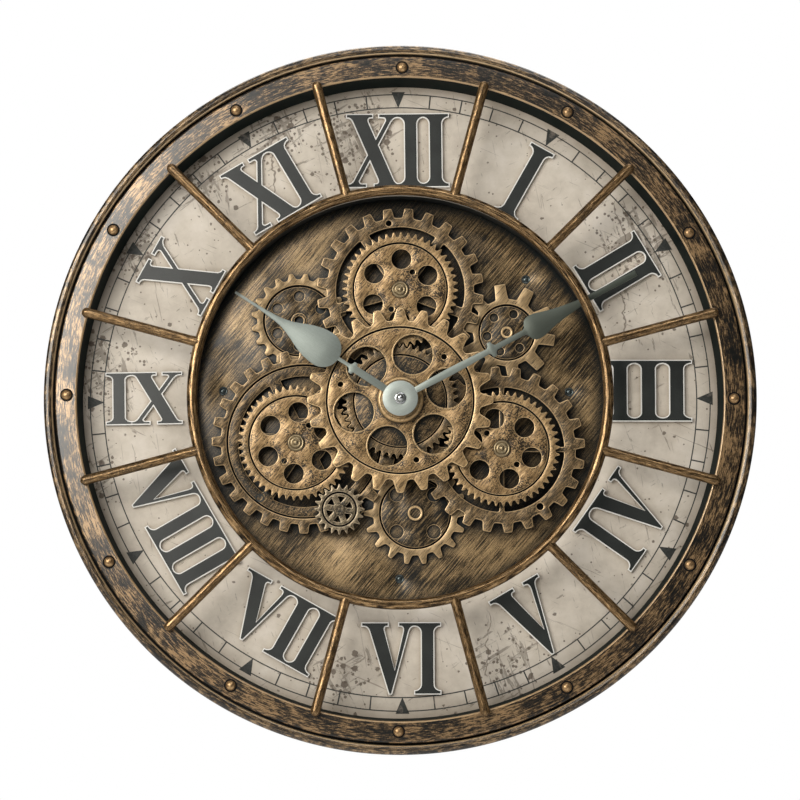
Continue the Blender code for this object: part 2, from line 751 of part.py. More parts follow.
def battery_door(parent):
    left, bottom, right, top = DOOR_RECESS
    outline = rectangle(left + GAP, bottom + GAP, right - GAP, top - GAP)
    layers = [(outline, (DRIVES[0], 2.8))]
    for i in range(5):
        rib = left + 8.0 + 3.0 * i
        layers.append((rectangle(rib, bottom + 10.0, rib + 1.4, top - 10.0), (1.4, 2.8)))
    stepped_part("battery_door", layers, "black_plastic", parent)


def gear_switch(parent):
    left, bottom, _, top = SWITCH_SLOT
    outline = rectangle(left + GAP, bottom + GAP, left + GAP + SWITCH_LENGTH, top - GAP)
    middle = left + GAP + SWITCH_LENGTH / 2
    ridge = rectangle(middle - 0.6, bottom + GAP, middle + 0.6, top - GAP)
    stepped_part("gear_switch", [(outline, (1.8, 5.9)), (ridge, (1.0, 5.9))],
                 "black_plastic", parent)


# ---------------------------------------------------------------- hands

def centre_boss(parent):
    """Round bronze nut on the bushing, in front of the coarse gear."""
    bore = BUSHING_RADIUS + GAP
    profile = [(bore, BOSS[0]), (17.7, BOSS[0]), (17.7, BOSS[1] - 2.4), (15.2, BOSS[1]),
               (bore, BOSS[1])]
    turned_part("centre_boss", profile, 24, "gear_bronze", parent, closed=True)


def mirrored(right_side):
    """Closed outline from the points up its right side."""
    return right_side + [(-x, z) for x, z in reversed(right_side)]


def hour_hand(parent):
    """Bar, collar, round bulb and needle, cut from sheet and pressed on the hour tube."""
    bulb = 14.0
    bulb_centre = 69.5
    arc = []
    for angle in range(168, 77, -18):
        across, up = polar(bulb, angle)
        arc.append((across, bulb_centre + up))
    right = [(2.8, 9.0), (2.8, 40.5), (4.7, 41.2), (4.7, 43.8), (1.6, 45.2), (1.4, 55.0)]
    right += arc + [(12.7, 80.0), (9.1, 90.0), (4.8, 100.0), (2.4, 110.0), (1.0, 130.0),
                    (1.0, 148.7)]
    layers = [(circle(11.0, segments=24), HOUR_HAND), (mirrored(right), HOUR_HAND),
              (circle(HOUR_TUBE + 0.05, segments=12), None)]
    stepped_part("hour_hand", layers, "hand_grey", parent, turn=HOUR_ANGLE)
    tube = [(MINUTE_SHAFT + GAP, SHAFT_FLOOR), (HOUR_TUBE, SHAFT_FLOOR),
            (HOUR_TUBE, HOUR_HAND[1]), (MINUTE_SHAFT + GAP, HOUR_HAND[1])]
    turned_part("hour_tube", tube, 12, "zinc_steel", parent, closed=True)


def minute_hand(parent):
    """Spindle-shaped bar, cross collar and long leaf, on the minute shaft under a cap nut."""
    right = [(2.3, 12.0), (3.0, 42.0), (2.2, 75.0), (6.0, 77.0), (6.0, 79.8), (2.1, 82.0),
             (2.1, 106.0), (7.4, 109.4), (9.4, 112.8), (9.6, 117.0), (7.7, 125.0),
             (4.5, 140.0), (2.8, 152.0), (2.3, 202.0)]
    layers = [(circle(13.4, segments=24), MINUTE_HAND), (mirrored(right), MINUTE_HAND),
              (circle(MINUTE_SHAFT + 0.05, segments=12), None)]
    stepped_part("minute_hand", layers, "hand_grey", parent, turn=MINUTE_ANGLE)
    shaft = [(0.0, SHAFT_FLOOR), (MINUTE_SHAFT, SHAFT_FLOOR), (MINUTE_SHAFT, 59.2), (0.0, 59.2)]
    turned_part("minute_shaft", shaft, 12, "zinc_steel", parent)
    base = MINUTE_HAND[1] + GAP
    bore = MINUTE_SHAFT + GAP
    nut = [(0.0, 59.5), (bore, 59.5), (bore, base), (4.3, base), (4.3, base + 1.6),
           (3.2, base + 3.6), (0.0, base + 4.6)]
    turned_part("cap_nut", nut, 16, "bright_steel", parent)


# ---------------------------------------------------------------- assembly

def build():
    clear_scene()
    axis = joint_empty("clock_axis", (0.0, -HANG), None)
    outer_frame(axis)
    tube_ring(axis)
    spokes(axis)
    dial(axis)
    numerals(axis)
    gear_housing(axis)
    gear_plate(axis)
    back_ring(axis)
    hanger_plate(axis)
    wall_bumper(axis)
    low_gears(axis)
    upper_ring_gear(axis)
    right_ring_gear(axis)
    left_wheel(axis)
    arbors(axis)
    centre_boss(axis)
    quartz_movement(axis)
    gear_drive_case(axis)
    gear_motor(axis)
    battery_door(axis)
    gear_switch(axis)
    centre_gears(joint_empty("centre_spin_axis", (0.0, 0.0), axis))
    for name, angle in STACK_ANGLES.items():
        phase = meshed_phase(FINE_TEETH, CENTRE_PHASE, angle, FINE_TEETH)
        stack_gear(name, phase, joint_empty(f"{name}_spin_axis", stack_centre(name), axis))
        if name == "left":
            pinion_phase = meshed_phase(FINE_TEETH, phase, PINION_ANGLE, PINION_TEETH)
            pinion(pinion_phase, joint_empty("pinion_spin_axis", pinion_centre(), axis))
    hour_hand(joint_empty("hour_axis", (0.0, 0.0), axis))
    minute_hand(joint_empty("minute_axis", (0.0, 0.0), axis))
    set_knob(joint_empty("knob_axis", KNOB_CENTRE, axis))


build()
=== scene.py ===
"""Looks of the wall-hung skeleton clock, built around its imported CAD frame.

Depths are millimetres out from the wall (along -Y) and outlines are (x, z) millimetres about the
centre of the piece. Angles run clockwise from twelve o'clock, as the clock is read.
"""

import json
import math

import bmesh
import bpy
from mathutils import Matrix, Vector
from mathutils.geometry import delaunay_2d_cdt


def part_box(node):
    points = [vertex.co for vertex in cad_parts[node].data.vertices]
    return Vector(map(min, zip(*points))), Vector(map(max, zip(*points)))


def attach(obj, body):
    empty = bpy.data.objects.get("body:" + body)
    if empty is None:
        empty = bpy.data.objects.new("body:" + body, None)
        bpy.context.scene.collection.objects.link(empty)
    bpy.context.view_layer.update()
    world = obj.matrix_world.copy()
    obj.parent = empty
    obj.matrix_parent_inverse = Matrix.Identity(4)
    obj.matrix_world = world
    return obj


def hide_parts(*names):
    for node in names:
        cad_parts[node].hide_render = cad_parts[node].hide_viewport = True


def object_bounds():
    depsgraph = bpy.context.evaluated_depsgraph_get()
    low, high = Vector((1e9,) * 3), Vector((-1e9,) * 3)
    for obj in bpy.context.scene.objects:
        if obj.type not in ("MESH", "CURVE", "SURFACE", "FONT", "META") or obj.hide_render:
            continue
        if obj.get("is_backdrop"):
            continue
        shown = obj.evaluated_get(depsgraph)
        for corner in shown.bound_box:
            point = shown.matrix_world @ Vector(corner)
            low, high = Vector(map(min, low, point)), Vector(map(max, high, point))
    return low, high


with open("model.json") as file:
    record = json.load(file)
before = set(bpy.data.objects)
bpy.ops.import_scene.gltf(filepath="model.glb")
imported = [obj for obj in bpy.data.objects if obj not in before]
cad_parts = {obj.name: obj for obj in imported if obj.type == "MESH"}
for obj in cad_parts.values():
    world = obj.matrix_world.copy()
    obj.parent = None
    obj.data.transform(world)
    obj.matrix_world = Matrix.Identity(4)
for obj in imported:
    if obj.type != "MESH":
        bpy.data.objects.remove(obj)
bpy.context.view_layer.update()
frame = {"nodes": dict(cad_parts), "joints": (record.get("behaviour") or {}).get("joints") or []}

MM = 0.001
HOURS = 12


# ---------------------------------------------------------------- places, from the frame

def span_of(node):
    """(back, front) of a CAD node in millimetres of depth."""
    low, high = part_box(node)
    return (-high.y / MM, -low.y / MM)


def joint_centre(name):
    """(x, z) in metres of a joint's axis."""
    for joint in frame["joints"]:
        if joint["name"] == name:
            return (joint["pos_m"][0], joint["pos_m"][2])
    raise ValueError(name)


def box_centre(node):
    low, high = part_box(node)
    return ((low.x + high.x) / 2, (low.z + high.z) / 2)


AXIS = joint_centre("minute_turn")
UPPER = joint_centre("upper_spin")
RIGHT = joint_centre("right_spin")
LEFT = joint_centre("left_spin")
PINION = joint_centre("pinion_spin")

DIAL = span_of("dial")
NUMERAL = span_of("numeral_01")
FRAME = span_of("outer_frame")
RING = span_of("spoke_ring")
PLATE = span_of("gear_plate")
LOW_GEAR = span_of("bottom_gear")
RING_GEAR = span_of("upper_ring_gear")
FINE_GEAR = span_of("upper_gear")
COARSE_GEAR = span_of("centre_coarse_gear")
BOSS = span_of("centre_boss")
MINUTE_HAND = span_of("minute_hand")

FRAME_RADIUS = (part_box("outer_frame")[1].x - AXIS[0]) / MM
RING_TUBE = (RING[1] - RING[0]) / 2
RING_AXIS = (RING[1] + RING[0]) / 2
RING_RADIUS = (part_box("spoke_ring")[1].x - AXIS[0]) / MM - RING_TUBE
BACK_RADIUS = 266.0
LIP_RADIUS = 243.0
WALL_FOOT_RADIUS = 240.4        # the inner wall slopes in to the dial
LIP = 68.0
RIVET_CIRCLE = 250.7
RIVET_TURN = 0.3
SPOKE_TUBE = 3.75
SPOKE_END = 247.8
DIAL_BORE = 157.0
PLATE_RADIUS = (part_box("gear_plate")[1].x - AXIS[0]) / MM


# ---------------------------------------------------------------- outlines

def polar(radius, degrees):
    """Point at a radius and a clockwise angle from the top."""
    angle = math.radians(degrees)
    return (radius * math.sin(angle), radius * math.cos(angle))


def circle(radius, centre=(0.0, 0.0), segments=96):
    step = 360.0 / segments
    return [(centre[0] + x, centre[1] + z)
            for x, z in (polar(radius, step * i) for i in range(segments))]


def from_centre(point, centre=AXIS):
    """(x, z) in millimetres of a point from a centre, both in metres."""
    return ((point[0] - centre[0]) / MM, (point[1] - centre[1]) / MM)


def rectangle(left, bottom, right, top):
    return [(left, bottom), (right, bottom), (right, top), (left, top)]


def counter_clockwise(points):
    area = sum(a[0] * b[1] - b[0] * a[1] for a, b in zip(points, points[1:] + points[:1]))
    return list(points) if area > 0 else list(points)[::-1]


def quarter(steps):
    """(cosine, sine) of equal steps over a quarter turn, both ends included."""
    angles = [math.radians(90.0 * k / steps) for k in range(steps + 1)]
    return [(math.cos(angle), math.sin(angle)) for angle in angles]


def curve(start, corner, end, steps):
    """Points from start to end, pulled towards the corner."""
    return [tuple(start * (1 - t) ** 2 + corner * 2 * t * (1 - t) + end * t * t)
            for t in (k / steps for k in range(steps + 1))]


def rounded(points, radius, steps=3, closed=True):
    """Outline with its corners rounded off, less where its sides are short."""
    spots = [Vector(point) for point in points]
    result = []
    for before, corner, after in zip(spots[-1:] + spots, spots, spots[1:] + spots[:1]):
        back, on = before - corner, after - corner
        cut = min(radius, 0.45 * back.length, 0.45 * on.length)
        result.append(curve(corner + back.normalized() * cut, corner,
                            corner + on.normalized() * cut, steps))
    if not closed:
        result = [points[:1], *result[1:-1], points[-1:]]
    return [point for arc in result for point in arc]


def turned_outline(outline, degrees):
    """Outline turned clockwise about its own origin."""
    turn = math.radians(degrees)
    return [(x * math.cos(turn) + z * math.sin(turn), -x * math.sin(turn) + z * math.cos(turn))
            for x, z in outline]


def offset(points, distance):
    """Counter-clockwise outline moved outwards by a distance, with mitred corners."""
    moved = []
    count = len(points)
    for i, point in enumerate(points):
        before, after = points[i - 1], points[(i + 1) % count]
        first = Vector((point[1] - before[1], before[0] - point[0])).normalized()
        second = Vector((after[1] - point[1], point[0] - after[0])).normalized()
        miter = (first + second) / max(1.0 + first.dot(second), 0.35)
        moved.append((point[0] + miter.x * distance, point[1] + miter.y * distance))
    return moved


def toothed(teeth, root, tip, root_share, tip_share, tip_round=1.1, steps=3):
    """Gear outline; the shares are a tooth's width at root and tip, over its pitch."""
    pitch = 360.0 / teeth
    corners = [(root, -root_share), (tip, -tip_share), (tip, tip_share), (root, root_share)]
    points = [polar(radius, pitch * (i + share / 2)) for i in range(teeth)
              for radius, share in corners]
    return rounded(points, tip_round, steps)


def hole_ring(count, ring_radius, radius, start, segments=40):
    step = 360.0 / count
    return [circle(radius, polar(ring_radius, start + step * i), segments)
            for i in range(count)]


def arm_windows(count, inner, outer, arm_width, start, corner=1.2):
    """Windows between straight arms, from an inner to an outer radius."""
    windows = []
    step = 360.0 / count
    for i in range(count):
        points = []
        for radius, steps in ((outer, 16), (inner, 6)):
            margin = math.degrees(math.asin(arm_width / 2 / radius))
            low, high = start + step * i + margin, start + step * (i + 1) - margin
            arc = [polar(radius, low + (high - low) * k / steps) for k in range(steps + 1)]
            points += arc if radius == outer else arc[::-1]
        windows.append(rounded(points, corner, 2))
    return windows


# ---------------------------------------------------------------- meshes

def linked(name, data):
    """New object in the scene."""
    item = bpy.data.objects.new(name, data)
    bpy.context.scene.collection.objects.link(item)
    return item


def place(name, shape, materials, replaced=None, centre=AXIS, body="clock_body",
          turn=0.0, sharp=24.0):
    """Make the object of a solid at a centre (metres), on a body, in place of a CAD node.

    Edges steeper than sharp degrees stay crisp; a mesh already made is used as it is.
    """
    mesh = shape.mesh(name, sharp) if isinstance(shape, Solid) else shape
    item = linked(name, mesh)
    item.location = (centre[0], 0.0, centre[1])
    item.rotation_euler = (0.0, math.radians(turn), 0.0)
    if not mesh.materials:
        for material in materials:
            mesh.materials.append(material)
    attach(item, body)
    if replaced:
        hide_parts(replaced)
    return item


class Solid:
    """Closed shells gathered in one mesh; bevel faces carry an edge attribute of 1."""

    def __init__(self):
        self.bm = bmesh.new()
        self.edge = self.bm.faces.layers.float.new("edge")

    def vertex(self, point, depth):
        return self.bm.verts.new((point[0] * MM, -depth * MM, point[1] * MM))

    def face(self, verts, edge=0.0, material=0):
        made = self.bm.faces.new(verts)
        made[self.edge] = edge
        made.material_index = material
        return made

    def strip(self, low, high, edge=0.0, material=0):
        """Faces between two rings of vertices; a ring may be one vertex repeated."""
        made = []
        for i in range(len(low)):
            j = (i + 1) % len(low)
            corners = list(dict.fromkeys([low[i], low[j], high[j], high[i]]))
            made.append(self.face(corners, edge, material))
        return made

    def cap(self, loops, rings, front, material, wear=0.0):
        """Flat face inside the first outline, outside the others."""
        points, faces, verts = [], [], []
        for loop, ring in zip(loops, rings):
            faces.append(list(range(len(points), len(points) + len(loop))))
            points += [Vector(p) for p in loop]
            verts += ring
        _, _, triangles, origins, _, owners = delaunay_2d_cdt(points, [], faces, 1, 1e-6)
        for triangle, own in zip(triangles, owners):
            if own == [0]:
                corners = [verts[origins[i][0]] for i in triangle]
                self.face(corners if front else corners[::-1], wear, material)

    def plate(self, outer, holes, back, front, bevel=0.6, material=0, edge=1.0, wear=0.0,
              rear=None):
        """Flat plate with rounded front edges, on its outline and in its holes.

        Edge is how rubbed the rounded edges are, wear how rubbed the front face is; the
        rear face may have a material of its own.
        """
        loops = [counter_clockwise(outer)] + [counter_clockwise(h) for h in holes]
        steps = [(0.0, back), (0.0, front - bevel), (bevel * 0.3, front - bevel * 0.3),
                 (bevel, front)]
        levels = []
        for inset, depth in steps:
            shapes = [offset(loops[0], -inset)] + [offset(hole, inset) for hole in loops[1:]]
            levels.append((shapes, [[self.vertex(p, depth) for p in s] for s in shapes]))
        for low, high in zip(levels, levels[1:]):
            rubbed = 0.0 if low is levels[0] else edge
            for number, (a, b) in enumerate(zip(low[1], high[1])):
                self.strip(*((b, a) if number else (a, b)), rubbed, material)
        self.cap(*levels[-1], True, material, wear)
        self.cap(*levels[0], False, material if rear is None else rear)
        return self

    def turned(self, profile, segments=96, centre=(0.0, 0.0), closed=False, material=0,
               edge=0.0, worn=()):
        """Solid of revolution of (radius, depth) points; open ones end on the axis.

        Faces within 0.9 mm of a worn radius count as rubbed edges.
        """
        rings = []
        for radius, depth in profile:
            rings.append([self.vertex(p, depth) for p in circle(radius, centre, segments)]
                         if radius else [self.vertex(centre, depth)] * segments)
        pairs = list(zip(rings, rings[1:] + rings[:1], profile, profile[1:] + profile[:1]))
        made = []
        for inner, outer, low, high in pairs if closed else pairs[:-1]:
            middle = (low[0] + high[0]) / 2
            rubbed = 1.0 if any(abs(middle - radius) < 0.9 for radius in worn) else edge
            made += self.strip(inner, outer, rubbed, material)
        bmesh.ops.recalc_face_normals(self.bm, faces=made)
        return self

    def mesh(self, name, sharp=24.0):
        mesh = bpy.data.meshes.new(name)
        self.bm.to_mesh(mesh)
        self.bm.free()
        mesh.shade_smooth()
        mesh.set_sharp_from_angle(angle=math.radians(sharp))
        return mesh


def layered(outlines, back, front):
    """Union of overlapping outlines as one closed prism."""
    solid = Solid()
    points, loops = [], []
    for outline in outlines:
        loops.append(list(range(len(points), len(points) + len(outline))))
        points += [Vector(p) for p in counter_clockwise(outline)]
    verts, _, faces, _, _, owners = delaunay_2d_cdt(points, [], loops, 1, 1e-5)
    faces = [face for face, own in zip(faces, owners) if own]
    low = [solid.vertex(v, back) for v in verts]
    high = [solid.vertex(v, front) for v in verts]
    sides = {(a, b) for face in faces for a, b in zip(face, face[1:] + face[:1])}
    for face in faces:
        solid.face([high[i] for i in face])
        solid.face([low[i] for i in reversed(face)])
    for a, b in sides:
        if (b, a) not in sides:
            solid.face([low[a], low[b], high[b], high[a]])
    loose = [v for v in solid.bm.verts if not v.link_faces]
    bmesh.ops.delete(solid.bm, geom=loose, context="VERTS")
    return solid


# ---------------------------------------------------------------- material graphs

class Signal:
    """An output of a node; sums, differences and products of signals add maths nodes."""

    def __init__(self, graph, socket):
        self.graph, self.socket = graph, socket

    def __add__(self, other):
        return self.graph.maths("ADD", self, other)

    def __radd__(self, other):
        return self.graph.maths("ADD", other, self)

    def __sub__(self, other):
        return self.graph.maths("SUBTRACT", self, other)

    def __rsub__(self, other):
        return self.graph.maths("SUBTRACT", other, self)

    def __mul__(self, other):
        return self.graph.maths("MULTIPLY", self, other)

    def __abs__(self):
        return self.graph.maths("ABSOLUTE", self)


class Graph:
    """A Principled material and short calls that add nodes to it."""

    def __init__(self, name, metallic=0.0):
        self.material = bpy.data.materials.new(name)
        self.material.use_nodes = True
        self.tree = self.material.node_tree
        self.shader = self.tree.nodes["Principled BSDF"]
        self.set("Metallic", metallic)

    def put(self, socket, value):
        if isinstance(value, Signal):
            self.tree.links.new(value.socket, socket)
        elif isinstance(value, (tuple, list)) and socket.type == "RGBA":
            socket.default_value = (*value, 1.0)[:4]
        else:
            socket.default_value = value

    def set(self, name, value):
        self.put(self.shader.inputs[name], value)

    def node(self, kind, inputs=(), **settings):
        made = self.tree.nodes.new("ShaderNode" + kind)
        for key, value in settings.items():
            setattr(made, key, value)
        for key, value in dict(inputs).items():
            self.put(made.inputs[key], value)
        return made

    def signal(self, kind, inputs=(), output=0, **settings):
        return Signal(self, self.node(kind, inputs, **settings).outputs[output])

    def maths(self, operation, a, b=0.0, clamp=False):
        return self.signal("Math", {0: a, 1: b}, operation=operation, use_clamp=clamp)

    def vectors(self, operation, a, b, output=0):
        return self.signal("VectorMath", {0: a, 1: b}, output, operation=operation)

    def millimetres(self):
        """Object coordinates in millimetres."""
        place_of = self.signal("TexCoord", output="Object")
        return self.vectors("MULTIPLY", place_of, (1 / MM, 1 / MM, 1 / MM))

    def shuffled(self):
        """Object coordinates in millimetres, moved by a different amount on each object."""
        shift = self.signal("ObjectInfo", output="Random") * 900.0
        return self.vectors("ADD", self.millimetres(), self.joined(shift, shift, shift))

    def parts(self, vector):
        made = self.node("SeparateXYZ", {0: vector})
        return [Signal(self, socket) for socket in made.outputs]

    def joined(self, x, y, z):
        return self.signal("CombineXYZ", {0: x, 1: y, 2: z})

    def radius(self, x, z):
        return self.maths("SQRT", x * x + z * z)

    def stretched(self, vector, degrees, along, across):
        """Coordinates for strokes that rise to the right at an angle on the dial's face."""
        turned = self.signal("VectorRotate", {"Vector": vector, "Angle": math.radians(degrees)},
                             rotation_type="Y_AXIS")
        return self.vectors("MULTIPLY", turned, (along, across, across))

    def round_strokes(self, vector, along, across):
        """Coordinates for strokes that run round the clock's axis, without a seam."""
        x, y, z = self.parts(vector)
        return self.joined(x * along, z * along, (self.radius(x, z) - y) * across)

    def noise(self, vector, scale=1.0, detail=4.0, roughness=0.55, distortion=0.0):
        return self.signal("TexNoise", {"Vector": vector, "Scale": scale, "Detail": detail,
                                        "Roughness": roughness, "Distortion": distortion})

    def ramp(self, value, *stops):
        made = self.node("ValToRGB", {"Fac": value})
        elements = made.color_ramp.elements
        while len(elements) < len(stops):
            elements.new(1.0)
        for element, (position, colour) in zip(elements, stops):
            element.position = position
            element.color = (*colour, 1.0)
        return Signal(self, made.outputs["Color"])

    def mask(self, value, low, high):
        """0 at low and 1 at high."""
        return self.signal("MapRange", {"Value": value, "From Min": low, "From Max": high},
                           clamp=True)

    def mix(self, factor, a, b, blend="MIX"):
        made = self.node("Mix", data_type="RGBA", blend_type=blend, clamp_factor=True)
        colours = [s for s in made.inputs if s.type == "RGBA"]
        self.put(made.inputs[0], factor)
        self.put(colours[0], a)
        self.put(colours[1], b)
        return Signal(self, next(s for s in made.outputs if s.type == "RGBA"))

    def occlusion(self, distance):
        """1 in the open, falling to 0 in corners narrower than the distance."""
        return self.signal("AmbientOcclusion", {"Distance": distance * MM}, "AO", samples=6)

    def edge(self):
        return self.signal("Attribute", output="Fac", attribute_name="edge")

    def steepness(self):
        """0 on faces square to the front, 1 on the flanks."""
        _, across, _ = self.parts(self.signal("NewGeometry", output="Normal"))
        return 1.0 - abs(across)

    def bump(self, height, depth):
        self.set("Normal", self.signal("Bump", {"Height": height, "Distance": depth * MM}))

    def finish(self, colour, roughness, lacquer=0.0, shine=1.0):
        """Set the colour and sheen; lacquer is the weight of a clear semi-gloss coat."""
        self.set("Base Color", colour)
        self.set("Roughness", roughness)
        self.set("Specular IOR Level", 0.5 * shine)
        if lacquer:
            self.set("Coat Weight", lacquer)
            self.set("Coat IOR", 1.9)
            self.set("Coat Roughness", 0.24)
        return self.material


HATCH = 50.0                    # strokes on the plate and gears rise to the right


def hatched(g, vector, along, across):
    return g.stretched(vector, HATCH, along, across)


def circling(g, vector, along, across):
    return g.round_strokes(vector, along, across)


def lengthwise(g, vector, along, across):
    """Strokes up an object's own Z axis."""
    return g.vectors("MULTIPLY", vector, (across, across, along))


def antique_bronze(name, shades, patina_and_shade_colour, strokes, along, across, patch, patch_size, spread,
                   reach, cover, metallic, gloss, speck=0.0, flank_shade=0.0, edge=None,
                   lacquer=0.0, shuffle=False, torn=1.2):
    """Brushed bronze paint over black: strokes, patches, specks, darkened corners, worn edges.

    Shades run from the dark between strokes to their crests, with less contrast for a wider
    spread. The patina colour gathers where the open space is narrower than the reach, more of
    it with a lower cover: real patina in the hollows with painted shade in corners and between
    parts. Steep flanks get it as painted shade. Its edge is torn along the strokes.
    """
    g = Graph(name, metallic)
    mm = g.shuffled() if shuffle else g.millimetres()
    broad = g.noise(strokes(g, mm, along * 0.5, across * 0.5), 1.0, 4.0, 0.6)
    fine = g.noise(strokes(g, mm, along, across), 1.0, 4.0, 0.65)
    grit = g.noise(mm, 0.9, 3.0, 0.7)
    clouds = g.noise(mm, 1.0 / patch_size, 4.0, 0.6) - 0.5
    tone = broad * 0.34 + fine * 0.46 + grit * 0.20 + clouds * patch
    dark, low, middle, light = shades
    colour = g.ramp(tone, (0.5 - spread, dark), (0.5 - spread * 0.4, low),
                    (0.5 + spread * 0.2, middle), (0.5 + spread, light))
    # Painted shade with real patina: spaces narrower than the reach are darkened towards the patina
    # colour.
    corner = 1.0 - g.occlusion(reach)
    ragged = corner + (fine - 0.5) * torn + clouds * 0.8
    patina_and_shade = g.mask(ragged, cover, cover + 0.2)
    colour = g.mix(patina_and_shade, colour, patina_and_shade_colour)
    wear = g.edge()
    if speck:
        spots = grit + corner * 0.35 + clouds * 0.7 - wear * 0.12
        colour = g.mix(g.mask(spots, 0.54, 0.585) * speck, colour, patina_and_shade_colour)
    if edge:
        colour = g.mix(wear * g.mask(fine, 0.34, 0.42) * 0.9, colour, edge)
    # Painted shade: faces turned away from the front are darkened towards the patina colour.
    if flank_shade:
        steep = g.mask(g.steepness() + grit * 0.6, 0.75, 1.1)
        colour = g.mix(steep * flank_shade, colour, patina_and_shade_colour)
    g.bump(tone - patina_and_shade * 0.3, 0.08)
    rough = g.maths("ADD", (gloss - 0.06) + fine * 0.14, patina_and_shade * 0.1, clamp=True)
    return g.finish(colour, rough, lacquer)


def satin_paint(name, colour, roughness, grain=0.5, depth=0.02, tint=0.12, shine=1.0):
    """Even paint or moulded plastic with a fine grain and slight cloudiness."""
    g = Graph(name)
    mm = g.millimetres()
    cloud = g.noise(mm, 0.06, 3.0, 0.6)
    grit = g.noise(mm, grain * 4.0, 3.0, 0.6)
    darker = [c * (1 - tint * 2) for c in colour]
    lighter = [min(1.0, c * (1 + tint * 2)) for c in colour]
    g.bump(grit, depth)
    return g.finish(g.ramp(cloud * 0.6 + grit * 0.4, (0.35, darker), (0.65, lighter)),
                    (roughness - 0.08) + cloud * 0.16, shine=shine)


def brushed_metal(name, colour, roughness, metallic=0.9, depth=0.02):
    """Plain metal with fine straight brushing."""
    g = Graph(name, metallic)
    mm = g.millimetres()
    lines = g.noise(g.stretched(mm, 0.0, 0.08, 3.2), 1.0, 3.0, 0.6)
    cloud = g.noise(mm, 0.09, 3.0, 0.6)
    darker = [c * 0.8 for c in colour]
    lighter = [min(1.0, c * 1.12) for c in colour]
    g.bump(lines, depth)
    return g.finish(g.ramp(lines * 0.6 + cloud * 0.4, (0.35, darker), (0.65, lighter)),
                    (roughness - 0.07) + lines * 0.14)


HUB_RADIUS = 13.5               # the bright round end of either hand


def shaded_hand_metal(name, near, far, start, end):
    """Brushed grey hand whose colour runs from near to far along its length in mm: painted shade,
    darker towards the tip on the minute hand.
    """
    g = Graph(name, 0.5)
    mm = g.millimetres()
    x, _, z = g.parts(mm)
    lines = g.noise(g.stretched(mm, 0.0, 3.0, 0.1), 1.0, 3.0, 0.6)
    grain = g.noise(mm, 1.6, 3.0, 0.65)
    # Painted shade: the colour goes from near to far between start and end.
    metal = g.mix(g.mask(z, start, end), near, far)
    hub = g.mask(g.radius(x, z), HUB_RADIUS + 0.2, HUB_RADIUS - 0.2)
    metal = g.mix(hub, metal, (0.42, 0.465, 0.43))
    shade = g.ramp(lines * 0.5 + grain * 0.5, (0.35, (0.8, 0.8, 0.8)), (0.65, (1.0, 1.0, 1.0)))
    g.bump(grain, 0.012)
    return g.finish(g.mix(1.0, metal, shade, "MULTIPLY"), 0.36 + lines * 0.12)


# Where the print is most worn: clockwise angle, radius, reach in mm, strength.
STAINS = ((350.0, 205.0, 50.0, 0.9), (336.0, 225.0, 38.0, 0.8), (318.0, 226.0, 40.0, 0.7),
          (300.0, 232.0, 36.0, 0.8), (276.0, 222.0, 46.0, 0.75), (256.0, 232.0, 32.0, 0.5),
          (56.0, 214.0, 52.0, 0.8), (158.0, 214.0, 46.0, 0.7), (192.0, 214.0, 36.0, 0.7))
# Upright hairline cracks in the print: place across, lower end and upper end in mm.
CRACKS = ((169.0, 36.0, 156.0), (-96.0, 152.0, 214.0), (64.0, -222.0, -158.0))


